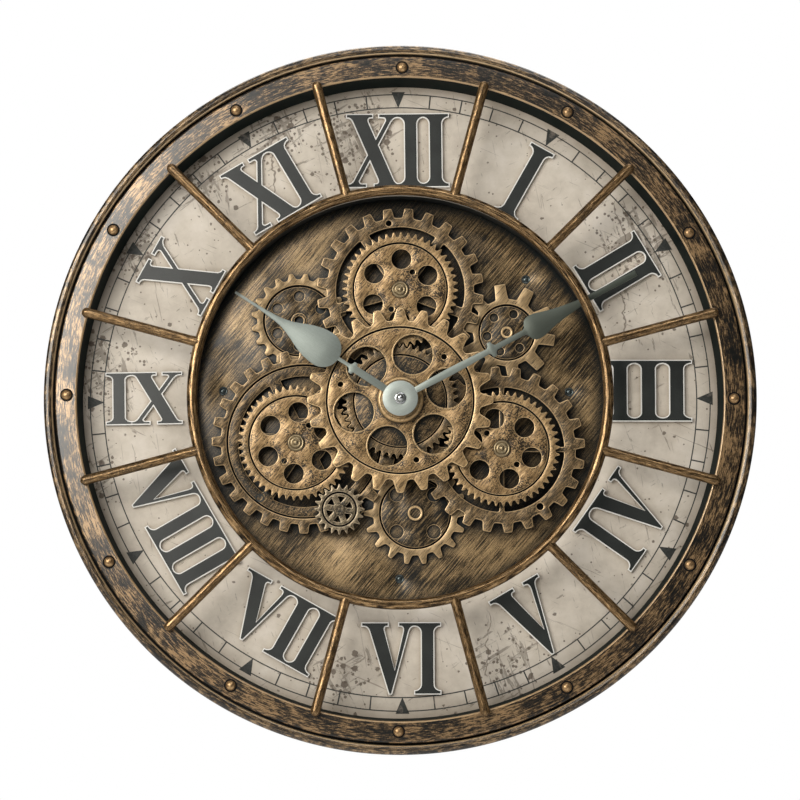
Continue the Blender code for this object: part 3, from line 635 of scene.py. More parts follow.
def dial_print():
    """Beige distressed print: clouds, smears, scratches, cracks, ink spatter and painted shade near
    the wall and numerals.
    """
    g = Graph("dial_print")
    mm = g.millimetres()
    x, _, z = g.parts(mm)
    flat = g.joined(x, z, 0.0)
    wear = None
    for angle, radius, reach, strength in STAINS:
        away = g.vectors("DISTANCE", flat, (*polar(radius, angle), 0.0), "Value")
        near = g.signal("MapRange", {"Value": away, "From Min": 0.0, "From Max": reach,
                                     "To Min": strength, "To Max": 0.0},
                        clamp=True, interpolation_type="SMOOTHSTEP")
        wear = g.maths("MAXIMUM", wear, near) if wear else near
    cloud = g.noise(flat, 0.012, 4.0, 0.6)
    mottle = g.noise(flat, 0.075, 5.0, 0.65)
    colour = g.ramp(cloud * 0.6 + mottle * 0.4, (0.36, (0.47, 0.415, 0.345)),
                    (0.5, (0.60, 0.54, 0.455)), (0.62, (0.685, 0.625, 0.545)))
    # broad grey-brown smears in two directions, densest at the worn places
    streaks = [g.noise(g.stretched(mm, angle, 0.04, 0.26), 1.0, 5.0, 0.66, 0.4)
               for angle in (-68.0, 32.0)]
    smear = g.mask(g.maths("MAXIMUM", *streaks) + wear * 0.17, 0.645, 0.685)
    colour = g.mix(smear * 0.7, colour, (0.20, 0.17, 0.135))
    # thin scratches in two directions
    for angle in (-24.0, -80.0):
        lines = g.noise(g.stretched(mm, angle, 0.02, 0.42), 1.0, 3.0, 0.6, 1.2)
        lines = g.mask(lines + wear * 0.07, 0.68, 0.705)
        colour = g.mix(lines * 0.6, colour, (0.20, 0.16, 0.13))
    # wandering hairline cracks, broken here and there
    broken = g.mask(g.noise(flat, 0.07, 2.0), 0.36, 0.44)
    bent = x + (g.noise(flat, 0.022, 4.0, 0.6) - 0.5) * 34.0
    for crack, low, high in CRACKS:
        line = g.mask(abs(bent - crack), 0.62, 0.30)
        span = g.mask(z, low, low + 6.0) * g.mask(z, high, high - 6.0)
        colour = g.mix(line * span * broken * 0.8, colour, (0.15, 0.115, 0.085))
    # spatter: round specks of two sizes, per mm and share of a cell
    for scale, cut in ((0.12, 0.16), (0.34, 0.2)):
        cells = g.node("TexVoronoi", {"Vector": flat, "Scale": scale, "Randomness": 1.0})
        size = g.parts(Signal(g, cells.outputs["Color"]))[0]
        chosen = g.mask(size + wear * 0.7, 0.76, 1.1)
        ragged = Signal(g, cells.outputs["Distance"]) + g.noise(flat, scale * 5.0, 2.0) * 0.22
        dot = g.mask(chosen * (cut * 2.2) - ragged, -0.10, -0.04)
        colour = g.mix(dot * 0.85, colour, (0.12, 0.09, 0.065))
    # Painted shade: the print is darkened where the space is narrower than 14 mm, by the frame's
    # wall and round the numerals.
    shade = g.mix(1.0, colour, (0.62, 0.58, 0.54), "MULTIPLY")
    colour = g.mix(g.mask(g.occlusion(14.0), 0.35, 0.95), shade, colour)
    g.bump(mottle + smear, 0.03)
    return g.finish(colour, 0.5 + mottle * 0.2)


def track_ink():
    """Dark printed lines, rubbed thin in places."""
    g = Graph("track_ink")
    mm = g.millimetres()
    rub = g.mask(g.noise(mm, 0.11, 4.0, 0.7), 0.60, 0.72)
    cloud = g.noise(mm, 0.5, 3.0)
    ink = g.ramp(cloud, (0.35, (0.020, 0.024, 0.022)), (0.65, (0.045, 0.046, 0.042)))
    g.bump(cloud, 0.01)
    return g.finish(g.mix(rub * 0.6, ink, (0.26, 0.22, 0.185)), 0.6)


def numeral_face():
    """Near-black satin paint, a little different on each numeral."""
    g = Graph("numeral_face")
    mm = g.shuffled()
    grain = g.noise(mm, 1.4, 4.0, 0.6)
    cloud = g.noise(mm, 0.05, 3.0)
    colour = g.ramp(grain * 0.5 + cloud * 0.5, (0.35, (0.008, 0.010, 0.009)),
                    (0.65, (0.018, 0.022, 0.020)))
    g.bump(grain, 0.02)
    return g.finish(colour, 0.30 + cloud * 0.12, 0.16)


def back_board():
    """Dark fibre board: short flecks in two directions."""
    g = Graph("back_board")
    mm = g.millimetres()
    flecks, other = [g.noise(g.stretched(mm, angle, 0.25, 0.8), 1.0, 4.0, 0.7)
                     for angle in (20.0, 110.0)]
    tone = flecks * 0.5 + other * 0.5
    g.bump(tone, 0.08)
    return g.finish(g.ramp(tone, (0.38, (0.045, 0.032, 0.022)), (0.5, (0.085, 0.064, 0.045)),
                           (0.62, (0.14, 0.11, 0.08))), 0.8)


BLACKENED = (0.006, 0.006, 0.006)

FRAME_BRONZE = antique_bronze(
    "frame_bronze",
    ((0.004, 0.005, 0.004), (0.019, 0.014, 0.009), (0.085, 0.052, 0.024), (0.38, 0.24, 0.115)),
    (0.005, 0.006, 0.006), circling, along=0.18, across=1.6, patch=0.40, patch_size=26.0,
    spread=0.09, reach=4.0, cover=0.55, edge=(0.50, 0.335, 0.175), metallic=0.4, gloss=0.32,
    lacquer=0.36)
BEAD_BRONZE = antique_bronze(
    "bead_bronze",
    ((0.006, 0.005, 0.004), (0.030, 0.020, 0.011), (0.105, 0.068, 0.033), (0.34, 0.225, 0.115)),
    BLACKENED, circling, along=0.18, across=1.8, patch=0.35, patch_size=30.0, spread=0.09,
    reach=3.0, cover=0.6, flank_shade=0.4, edge=(0.60, 0.43, 0.24), metallic=0.45, gloss=0.32,
    lacquer=0.3)
RING_BRONZE = antique_bronze(
    "ring_bronze",
    ((0.020, 0.013, 0.006), (0.105, 0.062, 0.026), (0.30, 0.18, 0.078), (0.60, 0.395, 0.195)),
    BLACKENED, circling, along=0.10, across=1.9, patch=0.18, patch_size=30.0, spread=0.105,
    reach=4.0, cover=0.50, speck=0.6, flank_shade=0.7, metallic=0.7, gloss=0.27)
ROD_BRONZE = antique_bronze(
    "rod_bronze",
    ((0.026, 0.016, 0.008), (0.13, 0.077, 0.033), (0.30, 0.182, 0.080), (0.60, 0.395, 0.195)),
    BLACKENED, lengthwise, along=0.2, across=1.6, patch=0.15, patch_size=20.0, spread=0.14,
    reach=3.0, cover=0.60, speck=0.65, flank_shade=0.3, metallic=0.7, gloss=0.28, shuffle=True)
RIVET_BRONZE = antique_bronze(
    "rivet_bronze",
    ((0.14, 0.085, 0.04), (0.30, 0.18, 0.085), (0.44, 0.28, 0.135), (0.64, 0.44, 0.23)),
    BLACKENED, hatched, along=0.4, across=1.2, patch=0.1, patch_size=10.0, spread=0.14,
    reach=1.5, cover=0.95, flank_shade=0.35, metallic=0.7, gloss=0.34)
GEAR_BRONZE = antique_bronze(
    "gear_bronze",
    ((0.10, 0.062, 0.028), (0.28, 0.175, 0.078), (0.43, 0.275, 0.125), (0.60, 0.405, 0.195)),
    (0.010, 0.010, 0.009), hatched, along=0.2, across=1.35, patch=0.14, patch_size=14.0,
    spread=0.105, reach=3.0, cover=0.44, speck=0.95, flank_shade=0.95, edge=(0.82, 0.58, 0.30),
    metallic=0.4, gloss=0.34)
GEAR_BACK_BRONZE = antique_bronze(
    "gear_back_bronze",
    ((0.012, 0.011, 0.009), (0.070, 0.047, 0.023), (0.215, 0.138, 0.064), (0.42, 0.285, 0.14)),
    (0.005, 0.009, 0.009), hatched, along=0.18, across=1.35, patch=0.25, patch_size=16.0,
    spread=0.105, reach=7.0, cover=0.30, speck=0.95, flank_shade=0.95, edge=(0.66, 0.46, 0.24),
    metallic=0.4, gloss=0.36)
LOW_GEAR_BRONZE = antique_bronze(
    "low_gear_bronze",
    ((0.006, 0.007, 0.006), (0.032, 0.024, 0.013), (0.13, 0.085, 0.040), (0.40, 0.27, 0.13)),
    (0.005, 0.008, 0.008), hatched, along=0.12, across=1.6, patch=0.25, patch_size=16.0,
    spread=0.09, reach=6.0, cover=0.30, speck=0.9, flank_shade=0.95, edge=(0.70, 0.49, 0.255),
    metallic=0.4, gloss=0.36, torn=1.8)
PINION_BRONZE = antique_bronze(
    "pinion_bronze",
    ((0.035, 0.028, 0.018), (0.12, 0.092, 0.056), (0.23, 0.18, 0.11), (0.38, 0.30, 0.19)),
    (0.010, 0.011, 0.011), hatched, along=0.3, across=1.5, patch=0.1, patch_size=8.0,
    spread=0.12, reach=2.0, cover=0.46, speck=0.9, flank_shade=0.9, edge=(0.56, 0.45, 0.30),
    metallic=0.5, gloss=0.36)
# The wide reach darkens the plate round the gears: patina with painted shade.
PLATE_BRONZE = antique_bronze(
    "plate_bronze",
    ((0.008, 0.009, 0.008), (0.060, 0.042, 0.021), (0.24, 0.16, 0.076), (0.56, 0.385, 0.19)),
    (0.004, 0.008, 0.009), hatched, along=0.06, across=1.9, patch=0.36, patch_size=36.0,
    spread=0.08, reach=15.0, cover=0.25, metallic=0.3, gloss=0.34, lacquer=0.05, torn=2.0)
DIAL_PRINT = dial_print()
TRACK_INK = track_ink()
NUMERAL_FACE = numeral_face()
WHITE_EDGE = satin_paint("white_edge", (0.80, 0.79, 0.75), 0.45, tint=0.04)
INNER_WALL = satin_paint("inner_wall", (0.003, 0.008, 0.0075), 0.6, tint=0.2, shine=0.12)
HAND_GREY = (0.27, 0.305, 0.275)
HOUR_GREY = shaded_hand_metal("hour_grey", HAND_GREY, (0.27, 0.305, 0.28), 40.0, 100.0)
# The minute hand darkens from its bar to its leaf: painted shade.
MINUTE_GREY = shaded_hand_metal("minute_grey", HAND_GREY, (0.085, 0.098, 0.080), 60.0, 112.0)
NUT_STEEL = brushed_metal("nut_steel", (0.60, 0.61, 0.62), 0.24, metallic=0.95, depth=0.0)
ARBOR_BRASS = brushed_metal("arbor_brass", (0.30, 0.235, 0.14), 0.34)
SCREW_GREY = brushed_metal("screw_grey", (0.07, 0.085, 0.085), 0.3, metallic=0.8)
# Near-black paint standing for shade: on moat floors, in the bead's groove and in the rivets'
# dimples.
BLACK_GAP_SHADE = satin_paint("black_gap_shade", (0.005, 0.005, 0.005), 0.7, shine=0.3)
HOUSING_BLACK = satin_paint("housing_black", (0.012, 0.014, 0.013), 0.6)
BLACK_PLASTIC = satin_paint("black_plastic", (0.022, 0.022, 0.024), 0.46, 0.9, 0.05)
ZINC = brushed_metal("zinc_steel", (0.34, 0.335, 0.31), 0.42)
RUBBER = satin_paint("rubber", (0.025, 0.025, 0.025), 0.8, 0.6, 0.06)
BACK_BOARD = back_board()


# ---------------------------------------------------------------- frame, ring and spokes

def arc_profile(points, radius, steps=4):
    """Open profile with its inner corners rounded."""
    return rounded(points, radius, steps, closed=False)


FINE_ROUND = 288                # segments of the largest circles
BAR_SIDES = 28                  # round bars of the ring and spokes


def outer_rim():
    """Beaded rim with its groove and riveted band, then the dark wall down to the dial."""
    inner, outer = LIP_RADIUS, FRAME_RADIUS
    back, wall, deep = FRAME[0], 3.0, 60.5
    solid = Solid()
    bead = arc_profile([
        (BACK_RADIUS - wall, back), (BACK_RADIUS, back), (outer, 61.0), (outer, 65.6),
        (outer - 1.3, 67.4), (outer - 3.6, 68.0), (outer - 5.9, 67.4), (outer - 6.9, 66.4),
        (outer - 7.0, deep), (outer - wall - 1.0, 58.0)], 0.7)
    solid.turned(bead, FINE_ROUND, closed=True, material=0, worn=[outer - 6.7])
    band = arc_profile([
        (outer - 8.6, deep), (outer - 8.7, 66.2), (outer - 9.5, 67.0), (inner + 4.6, 67.7),
        (inner + 0.9, LIP), (inner, LIP - 0.7), (inner, LIP - 1.6), (inner + wall, LIP - 2.0),
        (inner + wall, deep)], 0.4)
    solid.turned(band, FINE_ROUND, closed=True, material=1, worn=[inner + 0.4])
    # Black ring deep in the groove between bead and band: painted shade.
    solid.turned(rectangle(outer - 9.2, deep - 0.3, outer - 6.6, 62.3), FINE_ROUND,
                 closed=True, material=2)
    place("outer_rim", solid, [BEAD_BRONZE, FRAME_BRONZE, BLACK_GAP_SHADE],
          "outer_frame", sharp=50.0)
    foot = DIAL[1] + 0.3
    solid = Solid().turned([(inner + 0.05, LIP - 1.5), (WALL_FOOT_RADIUS, foot),
                            (WALL_FOOT_RADIUS + wall, foot), (inner + wall, LIP - 2.1)],
                           FINE_ROUND, closed=True)
    place("inner_wall", solid, [INNER_WALL])


def rivets():
    """Domed rivets, each in a dimple painted black as shade, one mesh for the twelve."""
    solid = Solid()
    seat = LIP - 0.3
    dome = [(0.0, seat - 1.0)]
    dome += [(3.8 * across, seat + 0.4 + 3.0 * up) for across, up in quarter(9)]
    dome[-1] = (0.0, dome[-1][1])
    washer = [(3.5, seat - 1.0), (4.9, seat - 1.0), (4.9, seat + 0.25), (4.6, seat + 0.45),
              (3.5, seat + 0.3)]
    for hour in range(HOURS):
        centre = polar(RIVET_CIRCLE, 30.0 * hour + RIVET_TURN)
        solid.turned(dome, 28, centre)
        # Black washer round each dome: painted shade in its dimple.
        solid.turned(washer, 28, centre, closed=True, material=1)
    place("rivets", solid, [RIVET_BRONZE, BLACK_GAP_SHADE], sharp=40.0)


def tube_ring():
    profile = circle(RING_TUBE, (RING_RADIUS, RING_AXIS), BAR_SIDES)
    solid = Solid().turned(profile, FINE_ROUND, closed=True)
    place("spoke_ring_visual", solid, [RING_BRONZE], "spoke_ring")


def spoke_mesh():
    """Round bar up the Z axis, with a domed outer end and a slight weld at the ring."""
    solid = Solid()
    stations = [(RING_RADIUS + 1.0, 4.0), (RING_RADIUS + 4.4, 4.0), (RING_RADIUS + 5.2, 3.85),
                (RING_RADIUS + 8.0, SPOKE_TUBE)]
    straight = SPOKE_END - SPOKE_TUBE
    length = straight - RING_RADIUS - 8.0
    stations += [(RING_RADIUS + 8.0 + length * k / 8, SPOKE_TUBE) for k in range(1, 9)]
    stations += [(straight + SPOKE_TUBE * up, SPOKE_TUBE * across)
                 for across, up in quarter(8)[1:-1]]
    rings = []
    for height, radius in stations:
        angles = [2 * math.pi * i / BAR_SIDES for i in range(BAR_SIDES)]
        rings.append([solid.vertex((radius * math.cos(angle), height),
                                   RING_AXIS + radius * math.sin(angle)) for angle in angles])
    for low, high in zip(rings, rings[1:]):
        solid.strip(low, high)
    solid.face(rings[-1])
    solid.face(rings[0][::-1])
    bmesh.ops.recalc_face_normals(solid.bm, faces=solid.bm.faces)
    return solid.mesh("spoke", 40.0)


def spokes():
    mesh = spoke_mesh()
    for i in range(HOURS):
        place(f"spoke_bar_{i + 1:02d}", mesh, [ROD_BRONZE],
              f"spoke_{i + 1:02d}", turn=15.0 + 30.0 * i)


# ---------------------------------------------------------------- dial and numerals

TRACK_OUTER = 234.9
TRACK_INNER = 224.7
TRACK_TURN = -0.4               # the print sits a little anticlockwise of the frame
LINE = 0.85


def dial_board():
    solid = Solid()
    outer = circle(WALL_FOOT_RADIUS + 2.7, segments=FINE_ROUND)
    solid.plate(outer, [circle(DIAL_BORE, segments=FINE_ROUND)], DIAL[0], DIAL[1], 0.3)
    place("dial_board", solid, [DIAL_PRINT], "dial")


def dial_track():
    """The printed minute track and hour triangles, a film on the dial."""
    film = (DIAL[1] - 0.05, DIAL[1] + 0.1)
    solid = Solid()
    for radius in (TRACK_OUTER, TRACK_INNER):
        solid.turned(rectangle(radius - LINE / 2, film[0], radius + LINE / 2, film[1]),
                     FINE_ROUND, closed=True)
    for minute in range(60):
        shape = rectangle(-0.5, TRACK_INNER, 0.5, TRACK_OUTER)
        if minute % 5 == 0:
            shape = [(-5.2, TRACK_OUTER + 1.9), (0.0, TRACK_INNER - 0.3),
                     (5.2, TRACK_OUTER + 1.9)]
        points = turned_outline(shape, 6.0 * minute + TRACK_TURN)
        solid.plate(points, [], film[0], film[1] + 0.02, 0.02, edge=0.0)
    place("dial_track", solid, [TRACK_INK])


NUMERAL_HEIGHT = 53.0
STEM = 8.8                      # thick stroke
HAIRLINE = 1.9                  # serif thickness
OVERHANG = 5.2                  # serif beyond its stem
ADVANCE = {"I": STEM + 2 * OVERHANG - 0.4, "V": 39.8, "X": 38.6}

# Numeral, clockwise angle, radius of its middle, turn of its top, width and height scales.
NUMERALS = (
    ("I", 29.4, 191.6, 29.4, 1.0, 1.11), ("II", 59.1, 192.0, 59.1, 1.03, 1.01),
    ("III", 87.8, 188.1, 0.0, 1.14, 0.86), ("IV", 118.0, 191.7, 305.2, 1.0, 1.0),
    ("V", 149.3, 194.6, 329.8, 1.04, 1.08), ("VI", 179.8, 195.3, 359.8, 1.0, 1.0),
    ("VII", 208.7, 191.5, 29.4, 1.01, 0.93), ("VIII", 241.1, 190.5, 59.9, 1.02, 0.92),
    ("IX", 270.4, 194.1, 359.0, 0.98, 0.73), ("X", 299.5, 191.7, 298.7, 1.0, 1.04),
    ("XI", 328.9, 191.2, 329.3, 1.01, 0.99), ("XII", 359.4, 191.2, 359.4, 1.01, 1.05),
)


def bracket(corner, along_stroke, serif_side, reach):
    """Curved filling between a stroke's side and the serif that crosses its end."""
    corner = Vector(corner)
    down = Vector(along_stroke).normalized() * reach * 1.25
    side = Vector((serif_side * reach, 0.0))
    return curve(corner + side, corner, corner + down, 6) + [
        tuple(corner - down * 0.12 - side * 0.12)]


def serif(left, right, edge, inward):
    low, high = sorted((edge, edge + inward * HAIRLINE))
    return rectangle(left, low, right, high)


def letter_i():
    half, height = STEM / 2, NUMERAL_HEIGHT
    middle = ADVANCE["I"] / 2
    right = [(half + OVERHANG, 0.0), (half + OVERHANG, HAIRLINE)]
    right += [(half + OVERHANG * (1 - up), HAIRLINE + OVERHANG * (1 - across))
              for across, up in quarter(8)[1:]]
    right += [(x, height - z) for x, z in reversed(right)]
    left = [(-x, z) for x, z in reversed(right)]
    return [[(middle + x, z) for x, z in right + left]]


def letter_v():
    height = NUMERAL_HEIGHT
    under = height - HAIRLINE
    thick_left, thick_right = (16.1, -height), (9.5, 17.0 - height)
    thin_left, thin_right = (-8.5, 17.0 - height), (-14.6, -height)
    body = [(4.2, height), (14.9, height), (24.4, 17.0), (32.9, height), (36.3, height),
            (21.7, 0.0), (20.3, 0.0)]
    return [body, serif(0.0, 19.4, height, -1), serif(27.8, 40.2, height, -1),
            bracket((4.7, under), thick_left, -1, 3.6), bracket((15.3, under), thick_right, 1, 3.6),
            bracket((32.4, under), thin_left, -1, 4.0), bracket((35.8, under), thin_right, 1, 3.6)]


def letter_x():
    height = NUMERAL_HEIGHT
    under, over = height - HAIRLINE, HAIRLINE
    thick_down, thin_down = (23.4, -height), (-26.1, -height)
    thick_up, thin_up = (-23.4, height), (26.1, height)
    thick = [(2.5, height), (13.4, height), (36.8, 0.0), (26.0, 0.0)]
    thin = [(32.2, height), (35.6, height), (6.1, 0.0), (2.6, 0.0)]
    return [thick, thin, serif(0.0, 19.2, height, -1), serif(24.4, 38.9, height, -1),
            serif(0.6, 14.1, 0.0, 1), serif(20.4, 38.9, 0.0, 1),
            bracket((3.3, under), thick_down, -1, 2.8), bracket((14.2, under), thick_down, 1, 4.2),
            bracket((31.2, under), thin_down, -1, 4.6), bracket((34.6, under), thin_down, 1, 3.4),
            bracket((7.0, over), thin_up, 1, 4.6), bracket((3.6, over), thin_up, -1, 2.6),
            bracket((36.0, over), thick_up, 1, 2.6), bracket((25.2, over), thick_up, -1, 4.2)]


LETTERS = {"I": letter_i, "V": letter_v, "X": letter_x}


def numeral_outlines(text, wide, tall, grow):
    """Outlines of a numeral about its own middle, grown outwards by a margin."""
    width = sum(ADVANCE[letter] for letter in text)
    outlines, start = [], -width / 2
    for letter in text:
        for outline in LETTERS[letter]():
            points = [((start + x) * wide, (z - NUMERAL_HEIGHT / 2) * tall) for x, z in outline]
            outlines.append(offset(counter_clockwise(points), grow))
        start += ADVANCE[letter]
    return outlines


def numerals():
    middle = NUMERAL[1] - 0.25
    for i, (text, angle, radius, turn, wide, tall) in enumerate(NUMERALS):
        x, z = polar(radius, angle)
        centre = (AXIS[0] + x * MM, AXIS[1] + z * MM)
        face = layered(numeral_outlines(text, wide, tall, -0.1), middle - 0.4, NUMERAL[1])
        place(f"numeral_face_{i + 1:02d}", face, [NUMERAL_FACE],
              f"numeral_{i + 1:02d}", centre, turn=turn)
        border = layered(numeral_outlines(text, wide, tall, 0.75), DIAL[1] + 0.02, middle)
        place(f"numeral_border_{i + 1:02d}", border, [WHITE_EDGE],
              centre=centre, turn=turn)


# ---------------------------------------------------------------- gears

COARSE_TEETH = 24
FINE_TEETH = 48
PINION_TEETH = 20
MODULE = 1.775
ARBOR_HOLE = 3.3
BUSHING_HOLE = 5.3              # round the movement's threaded bushing
GEAR_BEVEL = 0.65
FINE_BEVEL = 0.2


def fine_teeth(teeth):
    pitch_radius = MODULE * teeth / 2
    return toothed(teeth, pitch_radius - 2.15, pitch_radius + 1.35, 0.66, 0.14, 0.35, 2)


def bored(radius, bore, outward):
    """Circle joined to a bore that crosses it, or with that bore cut out of it."""
    x, z, bore_radius = bore
    distance, bearing = math.hypot(x, z), math.degrees(math.atan2(x, z))
    cosine = (radius ** 2 + distance ** 2 - bore_radius ** 2) / (2 * radius * distance)
    half = math.degrees(math.acos(cosine))
    points = [polar(radius, bearing + half + (360.0 - 2 * half) * k / 96) for k in range(97)]
    start = math.degrees(math.atan2(points[-1][0] - x, points[-1][1] - z))
    swing = abs((start - bearing + 180.0) % 360.0 - 180.0)
    sweep = 2 * swing if outward else 2 * swing - 360.0
    for k in range(1, 16):
        across, up = polar(bore_radius, bearing - swing + sweep * k / 16)
        points.append((x + across, z + up))
    return points


def gear(teeth_outline, span, dish_radius, dish, holes, bevel=GEAR_BEVEL, moat=1.3,
         rim_wear=0.12, bore=None):
    """Toothed rim standing proud of a drilled web, with a moat between them whose black floor, also
    lining the lower walls of the holes, is painted shade.

    A bore is the (x, z, radius) of a hole that crosses the inner edge of the rim.
    """
    def ring(radius, outward=False):
        return bored(radius, bore, outward) if bore else circle(radius)

    solid = Solid()
    back, front = span
    solid.plate(teeth_outline, [ring(dish_radius, True)], back, front, bevel, wear=rim_wear)
    # Black floor under the web: painted shade in the moat and down the holes.
    solid.plate(ring(dish_radius + 0.4), holes, back + 0.05, front - dish - 1.4, 0.05, 1, 0.0)
    solid.plate(ring(dish_radius - moat), holes, front - dish - 1.5, front - dish, 0.35)
    return solid


def phase_of(node, centre, teeth):
    """Clockwise angle of a tooth of a CAD gear, from its own vertices."""
    tips = []
    for vertex in frame["nodes"][node].data.vertices:
        x, z = from_centre((vertex.co.x, vertex.co.z), centre)
        tips.append((math.hypot(x, z), math.degrees(math.atan2(x, z))))
    limit = max(radius for radius, _ in tips) - 0.02
    pitch = 360.0 / teeth
    turns = [2 * math.pi * angle / pitch for radius, angle in tips if radius > limit]
    mean = math.atan2(sum(map(math.sin, turns)), sum(map(math.cos, turns)))
    return mean / (2 * math.pi) * pitch


def centre_coarse():
    holes = hole_ring(6, 36.1, 15.1, 15.5, 64) + hole_ring(3, 46.9, 2.2, 45.0, 24)
    holes.append(circle(BUSHING_HOLE, segments=40))
    outline = toothed(COARSE_TEETH, 60.9, 70.6, 0.72, 0.27, 1.7, 4)
    turn = phase_of("centre_coarse_gear", AXIS, COARSE_TEETH)
    solid = gear(turned_outline(outline, turn), COARSE_GEAR, 56.3, 1.2, holes)
    for rim, hole in zip(hole_ring(6, 36.1, 16.2, 15.5, 64), holes):
        solid.plate(rim, [hole], COARSE_GEAR[1] - 1.6, COARSE_GEAR[1] - 0.9, 0.3)
    place("coarse_gear", solid, [GEAR_BRONZE, BLACK_GAP_SHADE],
          "centre_coarse_gear", body="centre_gears")


def fine_gears():
    turn = phase_of("centre_fine_gear", AXIS, FINE_TEETH)
    back, front = FINE_GEAR
    solid = gear(turned_outline(fine_teeth(FINE_TEETH), turn), (back, front), 36.0, 1.2,
                 [circle(BUSHING_HOLE, segments=40)], FINE_BEVEL)
    solid.turned(rectangle(BUSHING_HOLE, front - 1.3, 12.0, COARSE_GEAR[0] - 0.3), 48,
                 closed=True)
    place("centre_fine", solid, [GEAR_BACK_BRONZE, BLACK_GAP_SHADE],
          "centre_fine_gear", body="centre_gears")
    # name, centre, first large hole, small holes
    table = (("upper", UPPER, 2.0, (34.0, 205.0)), ("left", LEFT, 4.0, (36.0, 213.0)),
             ("right", RIGHT, 46.5, (137.0, 316.0)))
    for name, centre, first, small in table:
        holes = hole_ring(6, 23.5, 7.6, first) + [circle(ARBOR_HOLE, segments=32)]
        holes += [circle(2.2, polar(16.4, angle), 20) for angle in small]
        turn = phase_of(f"{name}_gear", centre, FINE_TEETH)
        solid = gear(turned_outline(fine_teeth(FINE_TEETH), turn), FINE_GEAR, 36.4, 1.2,
                     holes, FINE_BEVEL)
        place(f"{name}_fine", solid, [GEAR_BRONZE, BLACK_GAP_SHADE],
              f"{name}_gear", centre, f"{name}_stack")


def drive_pinion():
    """Small lighter pinion: grooved face, six windows and a collar round its shaft."""
    back, front = FINE_GEAR
    turn = phase_of("drive_pinion", PINION, PINION_TEETH)
    solid = gear(turned_outline(fine_teeth(PINION_TEETH), turn), FINE_GEAR, 13.4, 0.8,
                 arm_windows(6, 5.0, 9.8, 4.6, -20.0, 0.5), 0.4)
    shaft_back = span_of("drive_pinion")[0]
    profile = [(0.0, shaft_back), (2.0, shaft_back), (2.0, back - 2.6), (4.2, back - 2.6),
               (4.2, front - 0.3), (3.9, front), (2.6, front), (2.4, front - 0.4),
               (1.5, front - 0.5), (1.2, front - 1.4), (0.0, front - 1.4)]
    solid.turned(profile, 32)
    place("pinion_visual", solid, [PINION_BRONZE, BLACK_GAP_SHADE],
          "drive_pinion", PINION, "pinion")


def stack_wheels():
    """The three large fixed wheels behind the turning fine gears."""
    back, front = RING_GEAR
    # name, centre, tip radius and share, windows, radius and place of the small hole
    table = (
        ("upper", UPPER, 63.8, 0.4, (5, 12.0, 49.0, 8.0, 38.0), 2.2, (52.8, 350.4)),
        ("right", RIGHT, 63.6, 0.38, (4, 12.0, 47.5, 4.0, 0.0), 2.6, (52.2, 146.3)),
    )
    for name, centre, tip, tip_share, windows, small, spot in table:
        outline = toothed(24, 56.4, tip, 0.6, tip_share)
        holes = arm_windows(*windows) + [circle(ARBOR_HOLE, segments=32),
                                         circle(small, polar(*spot), 24)]
        solid = Solid()
        solid.plate(turned_outline(outline, phase_of(f"{name}_ring_gear", centre, 24)), holes,
                    back, front, GEAR_BEVEL, wear=0.08)
        place(f"{name}_wheel", solid, [GEAR_BACK_BRONZE, BLACK_GAP_SHADE],
              f"{name}_ring_gear", centre)

    centre = box_centre("left_wheel")
    outline = toothed(28, 63.3, 70.3, 0.6, 0.42)
    windows = arm_windows(6, 18.0, 50.0, 9.0, 33.5)
    windows.append(circle(ARBOR_HOLE, from_centre(LEFT, centre), 32))
    # the pinion's shaft passes through the rim
    solid = gear(turned_outline(outline, phase_of("left_wheel", centre, 28)), RING_GEAR, 58.9,
                 1.6, windows, rim_wear=0.08, bore=(*from_centre(PINION, centre), 3.0))
    place("left_wheel_visual", solid, [GEAR_BACK_BRONZE, BLACK_GAP_SHADE],
          "left_wheel", centre)


def plate_gears():
    """The three small fixed gears that stand on the plate."""
    # node, place, teeth, root and tip radii, tooth shares, dish, holes, boss radius
    table = (
        ("upper_left_gear", (-77.3, 62.9), 20, 32.0, 36.6, (0.66, 0.26), 27.4,
         (6, 19.0, 4.1, 0.0), 6.1),
        ("upper_right_gear", (81.3, 53.8), 10, 26.0, 37.4, (0.6, 0.36), 21.7,
         (6, 15.2, 3.3, 20.0), 4.9),
        ("bottom_gear", (11.4, -84.4), 18, 32.3, 39.2, (0.6, 0.24), 27.4,
         (4, 20.0, 5.25, 45.0), 6.1),
    )
    front = LOW_GEAR[1]
    for node, place_of, teeth, root, tip, shares, dish, holes, boss in table:
        centre = (AXIS[0] + place_of[0] * MM, AXIS[1] + place_of[1] * MM)
        outline = toothed(teeth, root, tip, *shares, 1.0)
        turn = phase_of(node, centre, teeth)
        web_holes = hole_ring(*holes, 32)
        if node == "upper_left_gear":
            web_holes.append(circle(3.4, segments=32))
        solid = gear(turned_outline(outline, turn), LOW_GEAR, dish, 1.8, web_holes,
                     rim_wear=0.5)
        if node == "upper_left_gear":
            solid.plate(circle(boss, segments=48), [circle(3.4, segments=48)], front - 2.0,
                        front - 0.2, 0.6)
        else:
            solid.turned(arc_profile([(0.0, front - 2.0), (boss, front - 2.0),
                                      (boss, front), (boss - 0.9, front + 0.7),
                                      (boss - 2.1, front + 0.3), (boss - 2.6, front - 0.3),
                                      (0.0, front - 0.3)], 0.4), 48, worn=[boss - 1.2])
        place(f"{node}_visual", solid, [LOW_GEAR_BRONZE, BLACK_GAP_SHADE], node,
              centre)


